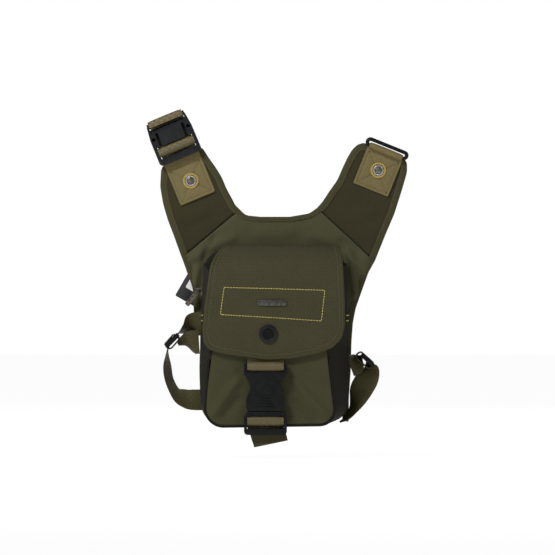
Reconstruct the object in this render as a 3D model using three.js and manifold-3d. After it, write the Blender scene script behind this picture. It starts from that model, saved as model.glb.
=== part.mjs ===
// Binocular harness pack: a chest pouch on a padded Y-shaped panel with two shoulder arms.
// Units are millimetres. +Z is up, the pack faces -Y, and the back pad's rear face is the plane y = 0.
// X = 0, Z = 0 lies at the middle of that face, a little below the middle of the front flap.

import * as THREE from 'three';
import { mergeVertices } from 'three/addons/utils/BufferGeometryUtils.js';
import Module from 'manifold-3d';

const wasm = await Module();
wasm.setup();

// ---------------------------------------------------------------- driving dimensions

const GAP = 0.3;                 // air left between neighbouring pieces
const WEB_WIDE = 38;             // shoulder and closure webbing
const WEB_NARROW = 25;           // side strap webbing
const WEB_THICK = 1.6;
const ROLL_R = 5;                // webbing wrapped round a buckle bar, outer radius
const BAR_R = 2.6;               // buckle bars
const PAD_THICK = 7;
const PANEL_THICK = 8;
const REAR_DEPTH = 18;           // rear zipped compartment
const WALL = 2.4;                // pouch fabric with its foam
const POUCH_DEPTH = 31;          // side gusset of the main pouch
const FLAP_THICK = 3.2;
const LEFT_LEAN = THREE.MathUtils.degToRad(-22.5);   // shoulder hardware, lean from upright
const RIGHT_LEAN = THREE.MathUtils.degToRad(22);

// Layers, from the wearer's chest forwards.
const Y = { padBack: 0, padFront: -PAD_THICK };
Y.panelBack = Y.padFront - GAP;
Y.panelFront = Y.panelBack - PANEL_THICK;
Y.rearBack = Y.panelFront - GAP;
Y.rearFront = Y.rearBack - REAR_DEPTH;
Y.wallBack = Y.rearFront - GAP;
Y.wallFront = Y.wallBack - WALL;
Y.gussetBack = Y.wallFront - GAP;
Y.gussetFront = Y.gussetBack - POUCH_DEPTH;
Y.frontBack = Y.gussetFront - GAP;
Y.frontFront = Y.frontBack - WALL;
Y.strapBack = Y.frontFront - GAP;              // webbing between the pouch and the flap
Y.strapFront = Y.strapBack - 1.3;
Y.flapInner = Y.strapFront - GAP;
Y.flapOuter = Y.flapInner - FLAP_THICK;
Y.buckle = Y.strapFront - 5.6;           // middle of the front buckle
Y.zip = (Y.rearBack + Y.rearFront) / 2;

// Seams where the shoulder arms join the chest panel.
const LEFT_SEAM = [[-39.5, 126], [-98.8, 76.5]];
const RIGHT_SEAM = [[43.5, 127.7], [102.5, 72.7]];
const SEAM_GAP = 0.6;
const SEAM_BEVEL = 3.2;          // extra room at the front of the seam for a forward fold

const BUCKLE_X = -11.5;
const FLAP_HINGE_Z = 87;
const HINGE_Y = -34.5;
const FLAP_BEND = { y: -38, z: 60 };           // centre of the flap's rounded top
const FEMALE = { top: -34.5, bar: -38, mouth: -84 };
const MALE = { base: -84.6, inner: -94.5, end: -105.5, bottom: -109 };
const POUCH_TOP = 84;
const ZIP_END = 16;              // the zip's two lower ends, with their bartacks

// ---------------------------------------------------------------- helpers

const FINISH = {
  cordura: { color: 0x3f3c2a, roughness: 0.92, metalness: 0 },
  panel: { color: 0x4b4a35, roughness: 0.92, metalness: 0 },
  mesh: { color: 0x25261f, roughness: 0.95, metalness: 0 },
  webbing: { color: 0x7a6c4c, roughness: 0.8, metalness: 0 },
  darkWebbing: { color: 0x55523c, roughness: 0.85, metalness: 0 },
  acetal: { color: 0x1c1d1f, roughness: 0.42, metalness: 0 },
  metal: { color: 0x55534b, roughness: 0.4, metalness: 1 },
  brightMetal: { color: 0x9a9a96, roughness: 0.35, metalness: 1 },
  eyelet: { color: 0xb9a56a, roughness: 0.5, metalness: 0 },
  card: { color: 0x22231f, roughness: 0.7, metalness: 0 },
};

const pack = new THREE.Group();

function add(name, geometry, finish, parent = pack) {
  const mesh = new THREE.Mesh(geometry, new THREE.MeshStandardMaterial(FINISH[finish]));
  mesh.name = name;
  parent.add(mesh);
  return mesh;
}

function toSolid(geometry) {
  const bare = geometry.clone();
  bare.deleteAttribute('normal');
  bare.deleteAttribute('uv');
  const merged = mergeVertices(bare, 1e-4);
  return new wasm.Manifold(new wasm.Mesh({
    numProp: 3,
    vertProperties: new Float32Array(merged.attributes.position.array),
    triVerts: new Uint32Array(merged.index.array),
  }));
}

function toGeometry(solid) {
  const mesh = solid.getMesh();
  const geometry = new THREE.BufferGeometry();
  geometry.setAttribute('position', new THREE.BufferAttribute(new Float32Array(mesh.vertProperties), 3));
  geometry.setIndex(new THREE.BufferAttribute(new Uint32Array(mesh.triVerts), 1));
  return geometry;
}

const join = (...parts) => toGeometry(parts.map(toSolid).reduce((a, b) => a.add(b)));
const cut = (body, ...tools) => toGeometry(tools.reduce((a, t) => a.subtract(toSolid(t)), toSolid(body)));
const overlap = (a, b) => toGeometry(toSolid(a).intersect(toSolid(b)));

// A box from its lowest to its highest corner.
function box(x0, x1, y0, y1, z0, z1) {
  const geometry = new THREE.BoxGeometry(x1 - x0, y1 - y0, z1 - z0);
  return geometry.translate((x0 + x1) / 2, (y0 + y1) / 2, (z0 + z1) / 2);
}

// A cylinder along X, Y or Z, centred at (x, y, z).
function rod(axis, radius, length, x, y, z, sides = 20) {
  const geometry = new THREE.CylinderGeometry(radius, radius, length, sides);
  if (axis === 'x') geometry.rotateZ(Math.PI / 2);
  if (axis === 'z') geometry.rotateX(Math.PI / 2);
  return geometry.translate(x, y, z);
}

// A closed outline from corners [x, z] or [x, z, radius]; a radius rounds its corner with an arc.
function outline(corners, arcSteps = 6) {
  const points = [];
  corners.forEach(([x, z, radius], i) => {
    const corner = new THREE.Vector2(x, z);
    if (!radius) {
      points.push(corner);
      return;
    }
    const before = corners[(i + corners.length - 1) % corners.length];
    const after = corners[(i + 1) % corners.length];
    const toBefore = new THREE.Vector2(before[0] - x, before[1] - z).normalize();
    const toAfter = new THREE.Vector2(after[0] - x, after[1] - z).normalize();
    const half = Math.acos(THREE.MathUtils.clamp(toBefore.dot(toAfter), -1, 1)) / 2;
    const reach = radius / Math.tan(half);
    const start = corner.clone().addScaledVector(toBefore, reach);
    const end = corner.clone().addScaledVector(toAfter, reach);
    for (let k = 0; k <= arcSteps; k += 1) {
      const t = k / arcSteps;
      // A conic weighted by the corner's half angle is the exact arc.
      const w = Math.sin(half);
      const d = (1 - t) ** 2 + 2 * w * t * (1 - t) + t * t;
      points.push(start.clone().multiplyScalar((1 - t) ** 2 / d)
        .addScaledVector(corner, 2 * w * t * (1 - t) / d)
        .addScaledVector(end, t * t / d));
    }
  });
  return points;
}

// Two outlines with the same number of points, joined into one closed solid from yBack to yFront.
function loft(backPoints, yBack, frontPoints, yFront) {
  const back = backPoints.map((p) => p.clone());
  const front = frontPoints.map((p) => p.clone());
  if (THREE.ShapeUtils.isClockWise(back)) {
    back.reverse();
    front.reverse();
  }
  const n = back.length;
  const positions = [];
  back.forEach((p) => positions.push(p.x, yBack, p.y));
  front.forEach((p) => positions.push(p.x, yFront, p.y));
  const index = [];
  THREE.ShapeUtils.triangulateShape(back, []).forEach(([a, b, c]) => index.push(a, c, b));
  THREE.ShapeUtils.triangulateShape(front, []).forEach(([a, b, c]) => index.push(a + n, b + n, c + n));
  for (let i = 0; i < n; i += 1) {
    const j = (i + 1) % n;
    index.push(i, j, j + n);
    index.push(i, j + n, i + n);
  }
  const geometry = new THREE.BufferGeometry();
  geometry.setAttribute('position', new THREE.Float32BufferAttribute(positions, 3));
  geometry.setIndex(index);
  return geometry;
}

const plate = (points, yBack, yFront) => loft(points, yBack, points, yFront);

// A profile in the YZ plane, pushed along X from x0 to x1.
function pushX(points, x0, x1) {
  const geometry = new THREE.ExtrudeGeometry(new THREE.Shape(points), { depth: x1 - x0, bevelEnabled: false });
  const turn = new THREE.Matrix4().makeBasis(
    new THREE.Vector3(0, 1, 0), new THREE.Vector3(0, 0, 1), new THREE.Vector3(1, 0, 0));
  return geometry.applyMatrix4(turn).translate(x0, 0, 0);
}

// A sheet's cross-section: a centre line in the YZ plane thickened by half to each side.
function sheetProfile(line, thickness) {
  const side = (sign) => line.map((p, i) => {
    const a = line[Math.max(i - 1, 0)];
    const b = line[Math.min(i + 1, line.length - 1)];
    const normal = new THREE.Vector2(-(b.y - a.y), b.x - a.x).normalize();
    return p.clone().addScaledVector(normal, sign * thickness / 2);
  });
  return [...side(1), ...side(-1).reverse()];
}

// A flat strap along hand-placed stations [x, y, z, widthX, widthY, widthZ]; the last three give the
// direction of its width at that station.
function ribbon(stations, width, thickness, steps = 24) {
  const centre = new THREE.CatmullRomCurve3(stations.map(([x, y, z]) => new THREE.Vector3(x, y, z)));
  const across = new THREE.CatmullRomCurve3(stations.map(([, , , x, y, z]) => new THREE.Vector3(x, y, z)));
  const positions = [];
  for (let i = 0; i <= steps; i += 1) {
    const t = i / steps;
    const p = centre.getPoint(t);
    const tangent = centre.getTangent(t);
    const w = across.getPoint(t);
    w.addScaledVector(tangent, -w.dot(tangent)).normalize();
    const n = new THREE.Vector3().crossVectors(tangent, w).normalize();
    [[-1, -1], [1, -1], [1, 1], [-1, 1]].forEach(([a, b]) => {
      const q = p.clone().addScaledVector(w, a * width / 2).addScaledVector(n, b * thickness / 2);
      positions.push(q.x, q.y, q.z);
    });
  }
  const index = [0, 2, 1, 0, 3, 2];
  const last = steps * 4;
  index.push(last, last + 1, last + 2, last, last + 2, last + 3);
  for (let i = 0; i < steps; i += 1) {
    for (let k = 0; k < 4; k += 1) {
      const a = i * 4 + k;
      const b = i * 4 + (k + 1) % 4;
      index.push(a, b, b + 4, a, b + 4, a + 4);
    }
  }
  const geometry = new THREE.BufferGeometry();
  geometry.setAttribute('position', new THREE.Float32BufferAttribute(positions, 3));
  geometry.setIndex(index);
  return geometry;
}

// ---------------------------------------------------------------- back pad and chest panel

function backPad() {
  const points = outline([[-40, 72, 14], [42, 72, 14], [48, 30, 20], [48, -76, 16], [-50, -76, 16], [-50, 30, 20]]);
  add('back_pad', plate(points, Y.padBack, Y.padFront), 'mesh');
}

// Moves a seam's two ends off the seam line by a distance, along its normal towards `sign`.
function seamOffset([top, low], distance, sign) {
  const dir = new THREE.Vector2(low[0] - top[0], low[1] - top[1]).normalize();
  const normal = new THREE.Vector2(-dir.y, dir.x).multiplyScalar(sign * distance);
  return [[top[0] + normal.x, top[1] + normal.y], [low[0] + normal.x, low[1] + normal.y]];
}

function chestPanel() {
  const [leftTop, leftLow] = LEFT_SEAM;
  const [rightTop, rightLow] = RIGHT_SEAM;
  const points = outline([
    leftTop, [-33, 119.6], [-17, 118], [14, 118], [35, 121.6], rightTop,
    rightLow, [96, 61], [87, 36], [82.5, 23], [79.5, 8], [78, -12], [77, -45], [75.2, -72], [75, -95, 18],
    [-76, -97, 18], [-78.4, -62], [-79.6, -35], [-79.2, 12, 3], [-86, 15, 3], [-87, 44], [-93.6, 62], leftLow]);
  add('chest_panel', plate(points, Y.panelBack, Y.panelFront), 'panel');
}

function shoulderArm(name, seam, sign, rest) {
  const shape = (gap) => {
    const [top, low] = seamOffset(seam, gap, sign);
    return outline([top, ...rest, low]);
  };
  const body = loft(shape(SEAM_GAP), Y.panelBack, shape(SEAM_GAP + SEAM_BEVEL), Y.panelFront);
  add(name, body, 'cordura');
}

function shoulderArms() {
  shoulderArm('left_shoulder_arm', LEFT_SEAM, -1, [
    [-44.5, 131], [-47.5, 137], [-54, 149], [-59, 161], [-66, 172], [-72.5, 181], [-80, 193, 4],
    [-120.5, 171, 6], [-121.5, 151], [-118.5, 133], [-113.5, 116], [-107, 99]]);
  shoulderArm('right_shoulder_arm', RIGHT_SEAM, 1, [
    [49.5, 134.5], [57, 146], [65, 157], [71, 171], [76, 181.5], [80.5, 189], [86, 194.3, 5], [92, 196, 4],
    [136.5, 178, 5], [136.5, 166], [131, 147], [123, 122], [114, 101]]);
}

// ---------------------------------------------------------------- rear compartment and its zip

const POUCH_BACK = [[-76.5, POUCH_TOP, 22], [72.5, POUCH_TOP, 22], [75.5, -96, 20], [-77.5, -98, 20]];
const inset = (corners, d) => corners.map(([x, z, r]) => [x - Math.sign(x) * d, z - Math.sign(z) * d, r - d]);

function ringWall(thickness, yBack, yFront, offset = 0) {
  const outer = plate(outline(inset(POUCH_BACK, offset)), yBack, yFront);
  const inner = plate(outline(inset(POUCH_BACK, offset + thickness)), yBack + 1, yFront - 1);
  return cut(outer, inner);
}

function rearCompartment() {
  const slot = box(-120, 120, Y.zip - 2.6, Y.zip + 2.6, ZIP_END, 120);
  add('rear_compartment_gusset', cut(ringWall(WALL, Y.rearBack, Y.rearFront), slot), 'cordura');
  const zipZone = box(-120, 120, -60, 0, ZIP_END + GAP, 120);
  const strip = (from, to, thick, offset) => overlap(ringWall(thick, Y.zip + from, Y.zip + to, offset), zipZone);
  add('zip_tape_rear', strip(2.3, 0.95, 1.2, 0.6), 'mesh');
  add('zip_tape_front', strip(-0.95, -2.3, 1.2, 0.6), 'mesh');
  add('zip_coil', strip(0.65, -0.65, 1.8, 0.2), 'mesh');
}

const SLIDER = { x: -77.5, z: 41, pin: 4.6 };

function zipSlider() {
  const { x, z, pin } = SLIDER;
  const body = box(x - 1.8, x, Y.zip - 3.4, Y.zip + 3.4, z - 5, z + 5);
  const bridge = box(x - pin - 2.2, x - 1, Y.zip - 1.1, Y.zip + 1.1, z - 3, z + 3);
  const eye = rod('y', 1.3, 6, x - pin, Y.zip, z, 16);
  add('zip_slider', cut(join(body, bridge), eye), 'metal');
}

// The pull hangs out to the left of the slider and slopes down.
function zipPull() {
  const tab = outline([[-1.9, 1.9, 1.6], [5, 2.6], [19.5, 2.6, 1.2], [19.5, -2.6, 1.2], [5, -2.6], [-1.9, -1.9, 1.6]]);
  const fork = box(-6, 4.6, -1.5, 1.5, -5, 5);
  const pin = rod('y', 0.9, 4, 0, 0, 0, 16);
  const body = cut(plate(tab, 2.3, -2.3), fork);
  const lighten = box(6, 25, -6, 6, -6, 6);
  const thin = box(6, 25, -0.7, 0.7, -6, 6);
  const blade = join(cut(body, lighten), overlap(plate(tab, 2.3, -2.3), thin));
  const group = new THREE.Group();
  group.position.set(SLIDER.x - SLIDER.pin, Y.zip, SLIDER.z);
  group.rotation.y = THREE.MathUtils.degToRad(180 - 50);
  add('zip_pull', join(blade, pin), 'metal', group);
  pack.add(group);
}

// ---------------------------------------------------------------- main pouch

const FRONT_CORNERS = [[-62, 62, 12], [46, 62, 12], [61.5, -97.5, 15], [-74.5, -99.5, 18]];

function mainPouch() {
  add('pouch_back_wall', plate(outline(POUCH_BACK), Y.wallBack, Y.wallFront), 'cordura');
  const outerBack = outline(POUCH_BACK);
  const outerFront = outline(FRONT_CORNERS);
  const innerBack = outline(inset(POUCH_BACK, WALL));
  const innerFront = outline(inset(FRONT_CORNERS, WALL));
  const shell = loft(outerBack, Y.gussetBack, outerFront, Y.gussetFront);
  const hollow = loft(innerBack, Y.gussetBack + 1, innerFront, Y.gussetFront - 1);
  const mouth = pushX([[0, 58], [0, 120], [-120, 120], [-120, 50], [Y.gussetFront, 50], [Y.gussetBack, 70]]
    .map(([y, z]) => new THREE.Vector2(y, z)), -120, 120);
  add('pouch_gusset', cut(shell, hollow, mouth), 'cordura');
  const front = outline([[-60, 50], [44, 50], ...FRONT_CORNERS.slice(2)]);
  add('pouch_front_panel', plate(front, Y.frontBack, Y.frontFront), 'cordura');
}

// Piping sewn round the front panel's lower edge, just outside the gusset's front seam.
function pouchPiping() {
  const outer = outline(inset(FRONT_CORNERS, -2.3));
  const inner = outline(inset(FRONT_CORNERS, -0.5));
  const ring = cut(plate(outer, Y.gussetFront - GAP, Y.frontFront), plate(inner, 0, -120));
  const below = box(-120, 120, -120, 0, -120, -34);
  add('pouch_piping', overlap(ring, below), 'mesh');
}

// ---------------------------------------------------------------- flap

// The flap rolls over the pouch's top as an ellipse and then hangs straight down in front.
function flapLine() {
  const points = [new THREE.Vector2(HINGE_Y, FLAP_HINGE_Z)];
  const reach = FLAP_BEND.y - (Y.flapInner + Y.flapOuter) / 2;
  const rise = FLAP_HINGE_Z - FLAP_BEND.z;
  for (let i = 0; i <= 12; i += 1) {
    const angle = (i / 12) * Math.PI / 2;
    points.push(new THREE.Vector2(FLAP_BEND.y - reach * Math.sin(angle), FLAP_BEND.z + rise * Math.cos(angle)));
  }
  points.push(new THREE.Vector2(FLAP_BEND.y - reach, 10));
  points.push(new THREE.Vector2(FLAP_BEND.y - reach, -40));
  return points;
}

const FLAP_OUTLINE = [
  [-55, 96], [-56.5, 85, 6], [-63, 78, 8], [-68.6, 67, 20], [-71.4, 45, 40], [-75.4, 15, 40], [-76.6, 0, 20],
  [-75.6, -12, 8], [-70, -19.5, 8], [-59, -23.2, 20], [-35, -27.4, 60], [-10.5, -31, 40], [12, -29.6, 40], [42, -24, 40],
  [58, -17.5, 12], [67.5, -8, 12], [70.8, 6, 15], [70.5, 30, 60], [68.6, 70, 10], [66, 79, 6], [61, 85, 4], [60.5, 96]];

function flap() {
  const sheet = pushX(sheetProfile(flapLine(), FLAP_THICK), -100, 100);
  add('flap', overlap(sheet, plate(outline(FLAP_OUTLINE), 0, -120)), 'cordura');
}

function flapHardware() {
  const out = Y.flapOuter - GAP;
  const badgeBar = plate(outline([[-20, 31.8, 2.4], [10.5, 31.8, 2.4], [10.5, 25.6, 2.4], [-20, 25.6, 2.4]]), out, out - 1.2);
  add('flap_badge', badgeBar, 'metal');
  const portX = -8.6;
  const portZ = -3.6;
  const ring = cut(rod('y', 9.6, 1.8, portX, out - 0.9, portZ, 32), rod('y', 6, 4, portX, out - 0.9, portZ, 32));
  add('flap_port_ring', ring, 'acetal');
  add('flap_port_mesh', rod('y', 5.7, 0.9, portX, out - 0.45, portZ, 32), 'mesh');
}

// ---------------------------------------------------------------- buckles

// A closed sleeve of webbing round a bar, lying along X at (y, z), with a tail strip if one is given.
function sleeve(x0, x1, y, z, tail) {
  const outer = rod('x', ROLL_R, x1 - x0, (x0 + x1) / 2, y, z, 24);
  const body = tail ? join(outer, tail) : outer;
  return cut(body, rod('x', BAR_R + GAP, x1 - x0 + 4, (x0 + x1) / 2, y, z, 20));
}

function frontFemale() {
  const x = BUCKLE_X;
  const y = Y.buckle;
  const thick = 4.2;
  const half = [[22.6, FEMALE.top], [22.6, -46], [18.4, -50], [15.9, -54], [15.9, -61], [20.2, -72], [20.2, -79],
    [18.6, FEMALE.mouth]];
  const side = (d) => [
    ...half.map(([u, z]) => new THREE.Vector2(x + u - d, z)),
    ...half.map(([u, z]) => new THREE.Vector2(x - u + d, z)).reverse()];
  const body = plate(side(0), y + thick, y - thick);
  const window = box(x - 19.6, x + 19.6, -120, 0, -43.4, -20);
  const cavity = cut(plate(side(2.4), y + thick + 1, y - thick + 2.4), box(x - 60, x + 60, -120, 0, -50, -20));
  const mouth = box(x - 16.2, x + 16.2, y - thick + 2.4, y + thick + 1, FEMALE.mouth - 2, -76);
  const waists = [-1, 1].map((s) => box(x + s * 20 - 7, x + s * 20 + 7, y - thick + 2.4, 0, -75, -53));
  const bar = rod('x', BAR_R, 42, x, y, FEMALE.bar);
  let shape = join(cut(body, window, cavity, mouth, ...waists), bar);
  for (let i = 0; i < 6; i += 1) {
    const z = -66 - i * 2.9;
    const reach = 1.6 + i * 1.45;
    shape = join(shape, box(x - reach, x + reach, y - thick - 0.8, y - thick + 0.5, z - 0.8, z + 0.8));
  }
  add('front_buckle_female', shape, 'acetal');
}

function frontMale() {
  const x = BUCKLE_X;
  const y = Y.buckle;
  const frame = plate(outline([
    [x - 18.6, MALE.base], [x + 18.6, MALE.base], [x + 22.4, MALE.base - 5, 2], [x + 22.4, MALE.bottom, 4],
    [x - 22.4, MALE.bottom, 4], [x - 22.4, MALE.base - 5, 2]]), y + 3.4, y - 3.4);
  const opening = box(x - 19.4, x + 19.4, -120, 0, MALE.end + 3, MALE.inner + 5.4);
  const inner = rod('x', BAR_R, 42, x, y, MALE.inner);
  const guide = box(x - 3.4, x + 3.4, y - 1.5, y + 2.6, MALE.base - 3, -56);
  const root = box(x - 14.5, x + 14.5, y - 1.5, y + 2.6, MALE.base - 3, MALE.base + 0.4);
  add('front_buckle_male', join(cut(frame, opening), inner, guide, root), 'acetal');
  [['left', -1], ['right', 1]].forEach(([side, s]) => {
    const arm = outline([
      [x + s * 10.6, MALE.base + 0.8], [x + s * 14.2, MALE.base + 0.8], [x + s * 15.6, -76], [x + s * 15.8, -68],
      [x + s * 15.8, -60, 2], [x + s * 12.4, -55.5, 2], [x + s * 9.6, -58, 2], [x + s * 12.2, -66]]);
    add(`front_buckle_prong_${side}`, plate(arm, y + 2.6, y - 1.5), 'acetal');
  });
}

function closureStraps() {
  const x0 = BUCKLE_X - WEB_WIDE / 2;
  const x1 = BUCKLE_X + WEB_WIDE / 2;
  const mid = (Y.strapFront + Y.strapBack) / 2;
  const tuck = pushX(sheetProfile([[mid, -8], [mid, -33], [mid - 0.8, -35.6], [mid - 2.6, FEMALE.bar]]
    .map(([y, z]) => new THREE.Vector2(y, z)), 1.3), x0, x1);
  add('flap_strap', sleeve(x0, x1, Y.buckle, FEMALE.bar, tuck), 'webbing');
  add('closure_strap_roll', sleeve(x0, x1, Y.buckle, MALE.inner), 'webbing');
  const tail = ribbon([
    [BUCKLE_X + 1, Y.buckle + 4.6, -102.4, 1, 0, 0.02], [BUCKLE_X + 2.5, Y.buckle + 4.65, -108, 1, 0, 0.1],
    [BUCKLE_X + 4.6, Y.buckle + 4.3, -114, 1, 0, 0.17], [BUCKLE_X + 5.6, Y.buckle + 3.6, -118.5, 1, 0, 0.18]],
  36, WEB_THICK, 10);
  add('closure_strap_tail', tail, 'webbing');
  const anchor = sheetProfile([[-56, -105.4], [mid + 3, -105.4], [mid + 0.1, -104.4], [mid, -100.2]]
    .map(([y, z]) => new THREE.Vector2(y, z)), 1.3);
  add('closure_strap_anchor', pushX(anchor, x0, x1), 'webbing');
}

// ---------------------------------------------------------------- shoulder hardware

// Local frame of one shoulder's hardware: X across the strap, +Z up along it.
function shoulderGroup(x, z, lean) {
  const group = new THREE.Group();
  group.position.set(x, 0, z);
  group.rotation.y = lean;
  pack.add(group);
  return group;
}

function rivet(side, group, z) {
  const front = Y.panelFront - GAP - WEB_THICK - GAP;
  const ring = (outer, inner, thick) => cut(
    rod('y', outer, thick, 0, front - thick / 2, z, 28), rod('y', inner, 8, 0, front, z, 28));
  add(`${side}_eyelet`, ring(8.4, 5.9, 0.8), 'eyelet', group);
  add(`${side}_snap_ring`, ring(5.6, 4, 1.4), 'brightMetal', group);
  add(`${side}_snap_stud`, rod('y', 3.7, 2.2, 0, front - 1.1, z, 24), 'metal', group);
}

const ADJUSTER = { fixedBar: 18.8, plateTop: 12.6, plateLow: -5.4, innerBar: -11.2, endBar: -21.4 };

function leftShoulder() {
  const group = shoulderGroup(-109.5, 203.5, LEFT_LEAN);
  const y = Y.panelFront - 6.4;
  const { fixedBar, plateTop, plateLow, innerBar, endBar } = ADJUSTER;
  const frame = plate(outline([
    [-21.4, 20.2, 3], [21.4, 20.2, 3], [23.4, 4, 4], [23.6, endBar - 3.6, 4], [-23.6, endBar - 3.6, 4], [-23.4, 4, 4]]),
  y + 3.2, y - 3.2);
  const half = WEB_WIDE / 2 + 0.5;
  const hole = (s, z, r) => rod('y', r, 20, s * 19.6, y, z, 18);
  const body = cut(frame,
    box(-half, half, -40, 0, plateTop, 40),
    box(-half, half, -40, 0, endBar + 3.2, plateLow),
    ...[-1, 1].map((s) => box(s * 14.6 - 1.5, s * 14.6 + 1.5, -40, 0, plateLow - 1, plateTop - 3)),
    hole(-1, 4, 2), hole(1, 4, 2));
  const bars = [fixedBar, innerBar].map((z) => rod('x', BAR_R, 42, 0, y, z));
  add('left_adjuster', join(body, ...bars), 'acetal', group);

  // The tab is sewn to the arm, runs under the end bar and wraps the inner bar.
  const tabTop = endBar + 4;
  const tab = box(-20, 20, Y.panelFront - GAP - WEB_THICK, Y.panelFront - GAP, -71, tabTop);
  add('left_tab', tab, 'webbing', group);
  add('left_tab_roll', sleeve(-19, 19, y, innerBar), 'webbing', group);
  const hang = Y.panelBack + GAP;
  const fold = pushX(sheetProfile([
    new THREE.Vector2(y - 4.1, fixedBar), new THREE.Vector2(y - 2.9, fixedBar + 2.9),
    new THREE.Vector2(y, fixedBar + 4.1), new THREE.Vector2(y + 8, fixedBar + 4.1),
    new THREE.Vector2(hang - 3, fixedBar + 3.4), new THREE.Vector2(hang + 0.2, fixedBar + 1),
    new THREE.Vector2(hang + 1, fixedBar - 4), new THREE.Vector2(hang + 1, -74)], WEB_THICK), -19, 19);
  add('shoulder_strap', fold, 'webbing', group);
  rivet('left', group, -50.4);
}

const RING = { outer: 24, wire: 2, upper: 3.2, lower: -3.2 };

function rightShoulder() {
  const group = shoulderGroup(116.4, 190.6, RIGHT_LEAN);
  const y = Y.panelFront - GAP - WEB_THICK - 2;
  const { outer, wire, upper, lower } = RING;
  const run = outline([
    [-outer + wire, upper, 3], [outer - wire, upper, 3], [outer - wire, lower, 3], [-outer + wire, lower, 3]], 5);
  const wireLoop = [];
  const sides = 10;
  run.forEach((p, i) => {
    const a = run[(i + run.length - 1) % run.length];
    const b = run[(i + 1) % run.length];
    const tangent = b.clone().sub(a).normalize();
    const out = new THREE.Vector2(tangent.y, -tangent.x);
    for (let k = 0; k < sides; k += 1) {
      const angle = (k / sides) * Math.PI * 2;
      const r = wire * Math.cos(angle);
      wireLoop.push(p.x + out.x * r, y + wire * Math.sin(angle), p.y + out.y * r);
    }
  });
  const index = [];
  run.forEach((_, i) => {
    const j = (i + 1) % run.length;
    for (let k = 0; k < sides; k += 1) {
      const m = (k + 1) % sides;
      index.push(i * sides + k, i * sides + m, j * sides + m);
      index.push(i * sides + k, j * sides + m, j * sides + k);
    }
  });
  const loop = new THREE.BufferGeometry();
  loop.setAttribute('position', new THREE.Float32BufferAttribute(wireLoop, 3));
  loop.setIndex(index);
  add('right_ring', loop, 'acetal', group);
  const front = Y.panelFront - GAP - WEB_THICK;
  const tab = box(-20, 20, front, Y.panelFront - GAP, -47, lower);
  const turn = rod('x', 3.6, 37.4, 0, y, lower, 24);
  const eye = rod('x', wire + GAP, 60, 0, y, lower, 20);
  add('right_tab', cut(join(tab, turn), eye), 'webbing', group);
  rivet('right', group, -24.4);
}

// ---------------------------------------------------------------- side straps

const SIDE_Y = -28.4;

// A ladder lock: two rails and three bars, its length along local X and its bars along Y.
function ladderLock(name, x, z, angle) {
  const half = WEB_NARROW / 2;
  const body = box(-8, 8, -half - 3, half + 3, -2.4, 2.4);
  const slots = [[-5, -1.6], [1.6, 5]].map(([a, b]) => box(a, b, -half - 0.4, half + 0.4, -6, 6));
  const grip = join(box(-9.6, -7, -half - 2, half + 2, -1.2, 3.4), box(-9, -6, -half - 2, half + 2, -1.2, 1.6));
  const group = new THREE.Group();
  group.position.set(x, SIDE_Y, z);
  group.rotation.y = THREE.MathUtils.degToRad(angle);
  add(name, join(cut(body, ...slots), grip), 'acetal', group);
  pack.add(group);
}

function leftSideStrap() {
  add('left_strap_upper', ribbon([
    [-81.5, SIDE_Y, 6.5, 0, -0.05, 1], [-88, SIDE_Y, 4, 0.1, -0.3, 1], [-95, SIDE_Y, 0.5, -0.1, -0.8, 0.75],
    [-102.6, SIDE_Y, -3.4, 0, -1, 0]], WEB_NARROW, WEB_THICK, 16), 'darkWebbing');
  ladderLock('left_ladder_lock', -109, -10.5, -45);
  add('left_strap_loop', ribbon([
    [-114.6, SIDE_Y, -20.5, 0, 1, 0], [-114.8, SIDE_Y, -38, 0.35, 0.93, 0], [-112.5, SIDE_Y, -53, 0.3, 0.9, 0.3],
    [-105, SIDE_Y + 1, -67.5, 0, 0.7, 0.75], [-95, SIDE_Y + 4, -72.6, -0.2, 0.4, 1],
    [-86, SIDE_Y + 6, -73.6, 0, 0.2, 1], [-79, SIDE_Y + 8, -73.6, 0, 0.1, 1]], WEB_NARROW - 3, WEB_THICK, 28),
  'darkWebbing');
  add('left_strap_tail', ribbon([
    [-102, SIDE_Y, -15.6, 0, -1, 0], [-98.5, SIDE_Y - 0.5, -15.4, 0, -1, 0.1],
    [-93.5, SIDE_Y - 3.5, -14.6, 0.1, -0.7, 0.7], [-88, SIDE_Y - 6, -13, 0, -0.2, 1],
    [-81.5, SIDE_Y - 6, -12.5, 0, -0.05, 1]], WEB_NARROW, WEB_THICK, 16), 'darkWebbing');
}

function rightSideStrap() {
  add('right_strap_upper', ribbon([
    [82, SIDE_Y, -29.4, 0, 0.1, 1], [84.2, SIDE_Y, -28.2, 0, 0.6, 0.8], [85.8, SIDE_Y, -25.8, 0, 1, 0]],
  WEB_NARROW, 3.2, 12), 'darkWebbing');
  ladderLock('right_ladder_lock', 95.2, -31, 222);
  add('right_strap_loop', ribbon([
    [98, SIDE_Y, -42, 0.75, -0.6, -0.25], [95, SIDE_Y + 1.4, -52, 0.88, -0.3, -0.35],
    [89.5, SIDE_Y + 3.4, -62, 0.9, -0.3, -0.34], [85.5, SIDE_Y + 3.9, -73, 0.6, -0.7, -0.38],
    [81.2, SIDE_Y + 4.4, -82.9, 0.3, -0.93, -0.25], [75, SIDE_Y + 4.4, -91.8, 0.1, -0.98, -0.15],
    [66.5, SIDE_Y + 4.4, -97, 0, -1, 0]], WEB_NARROW, WEB_THICK, 28), 'darkWebbing');
}

// ---------------------------------------------------------------- swing tag

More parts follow.
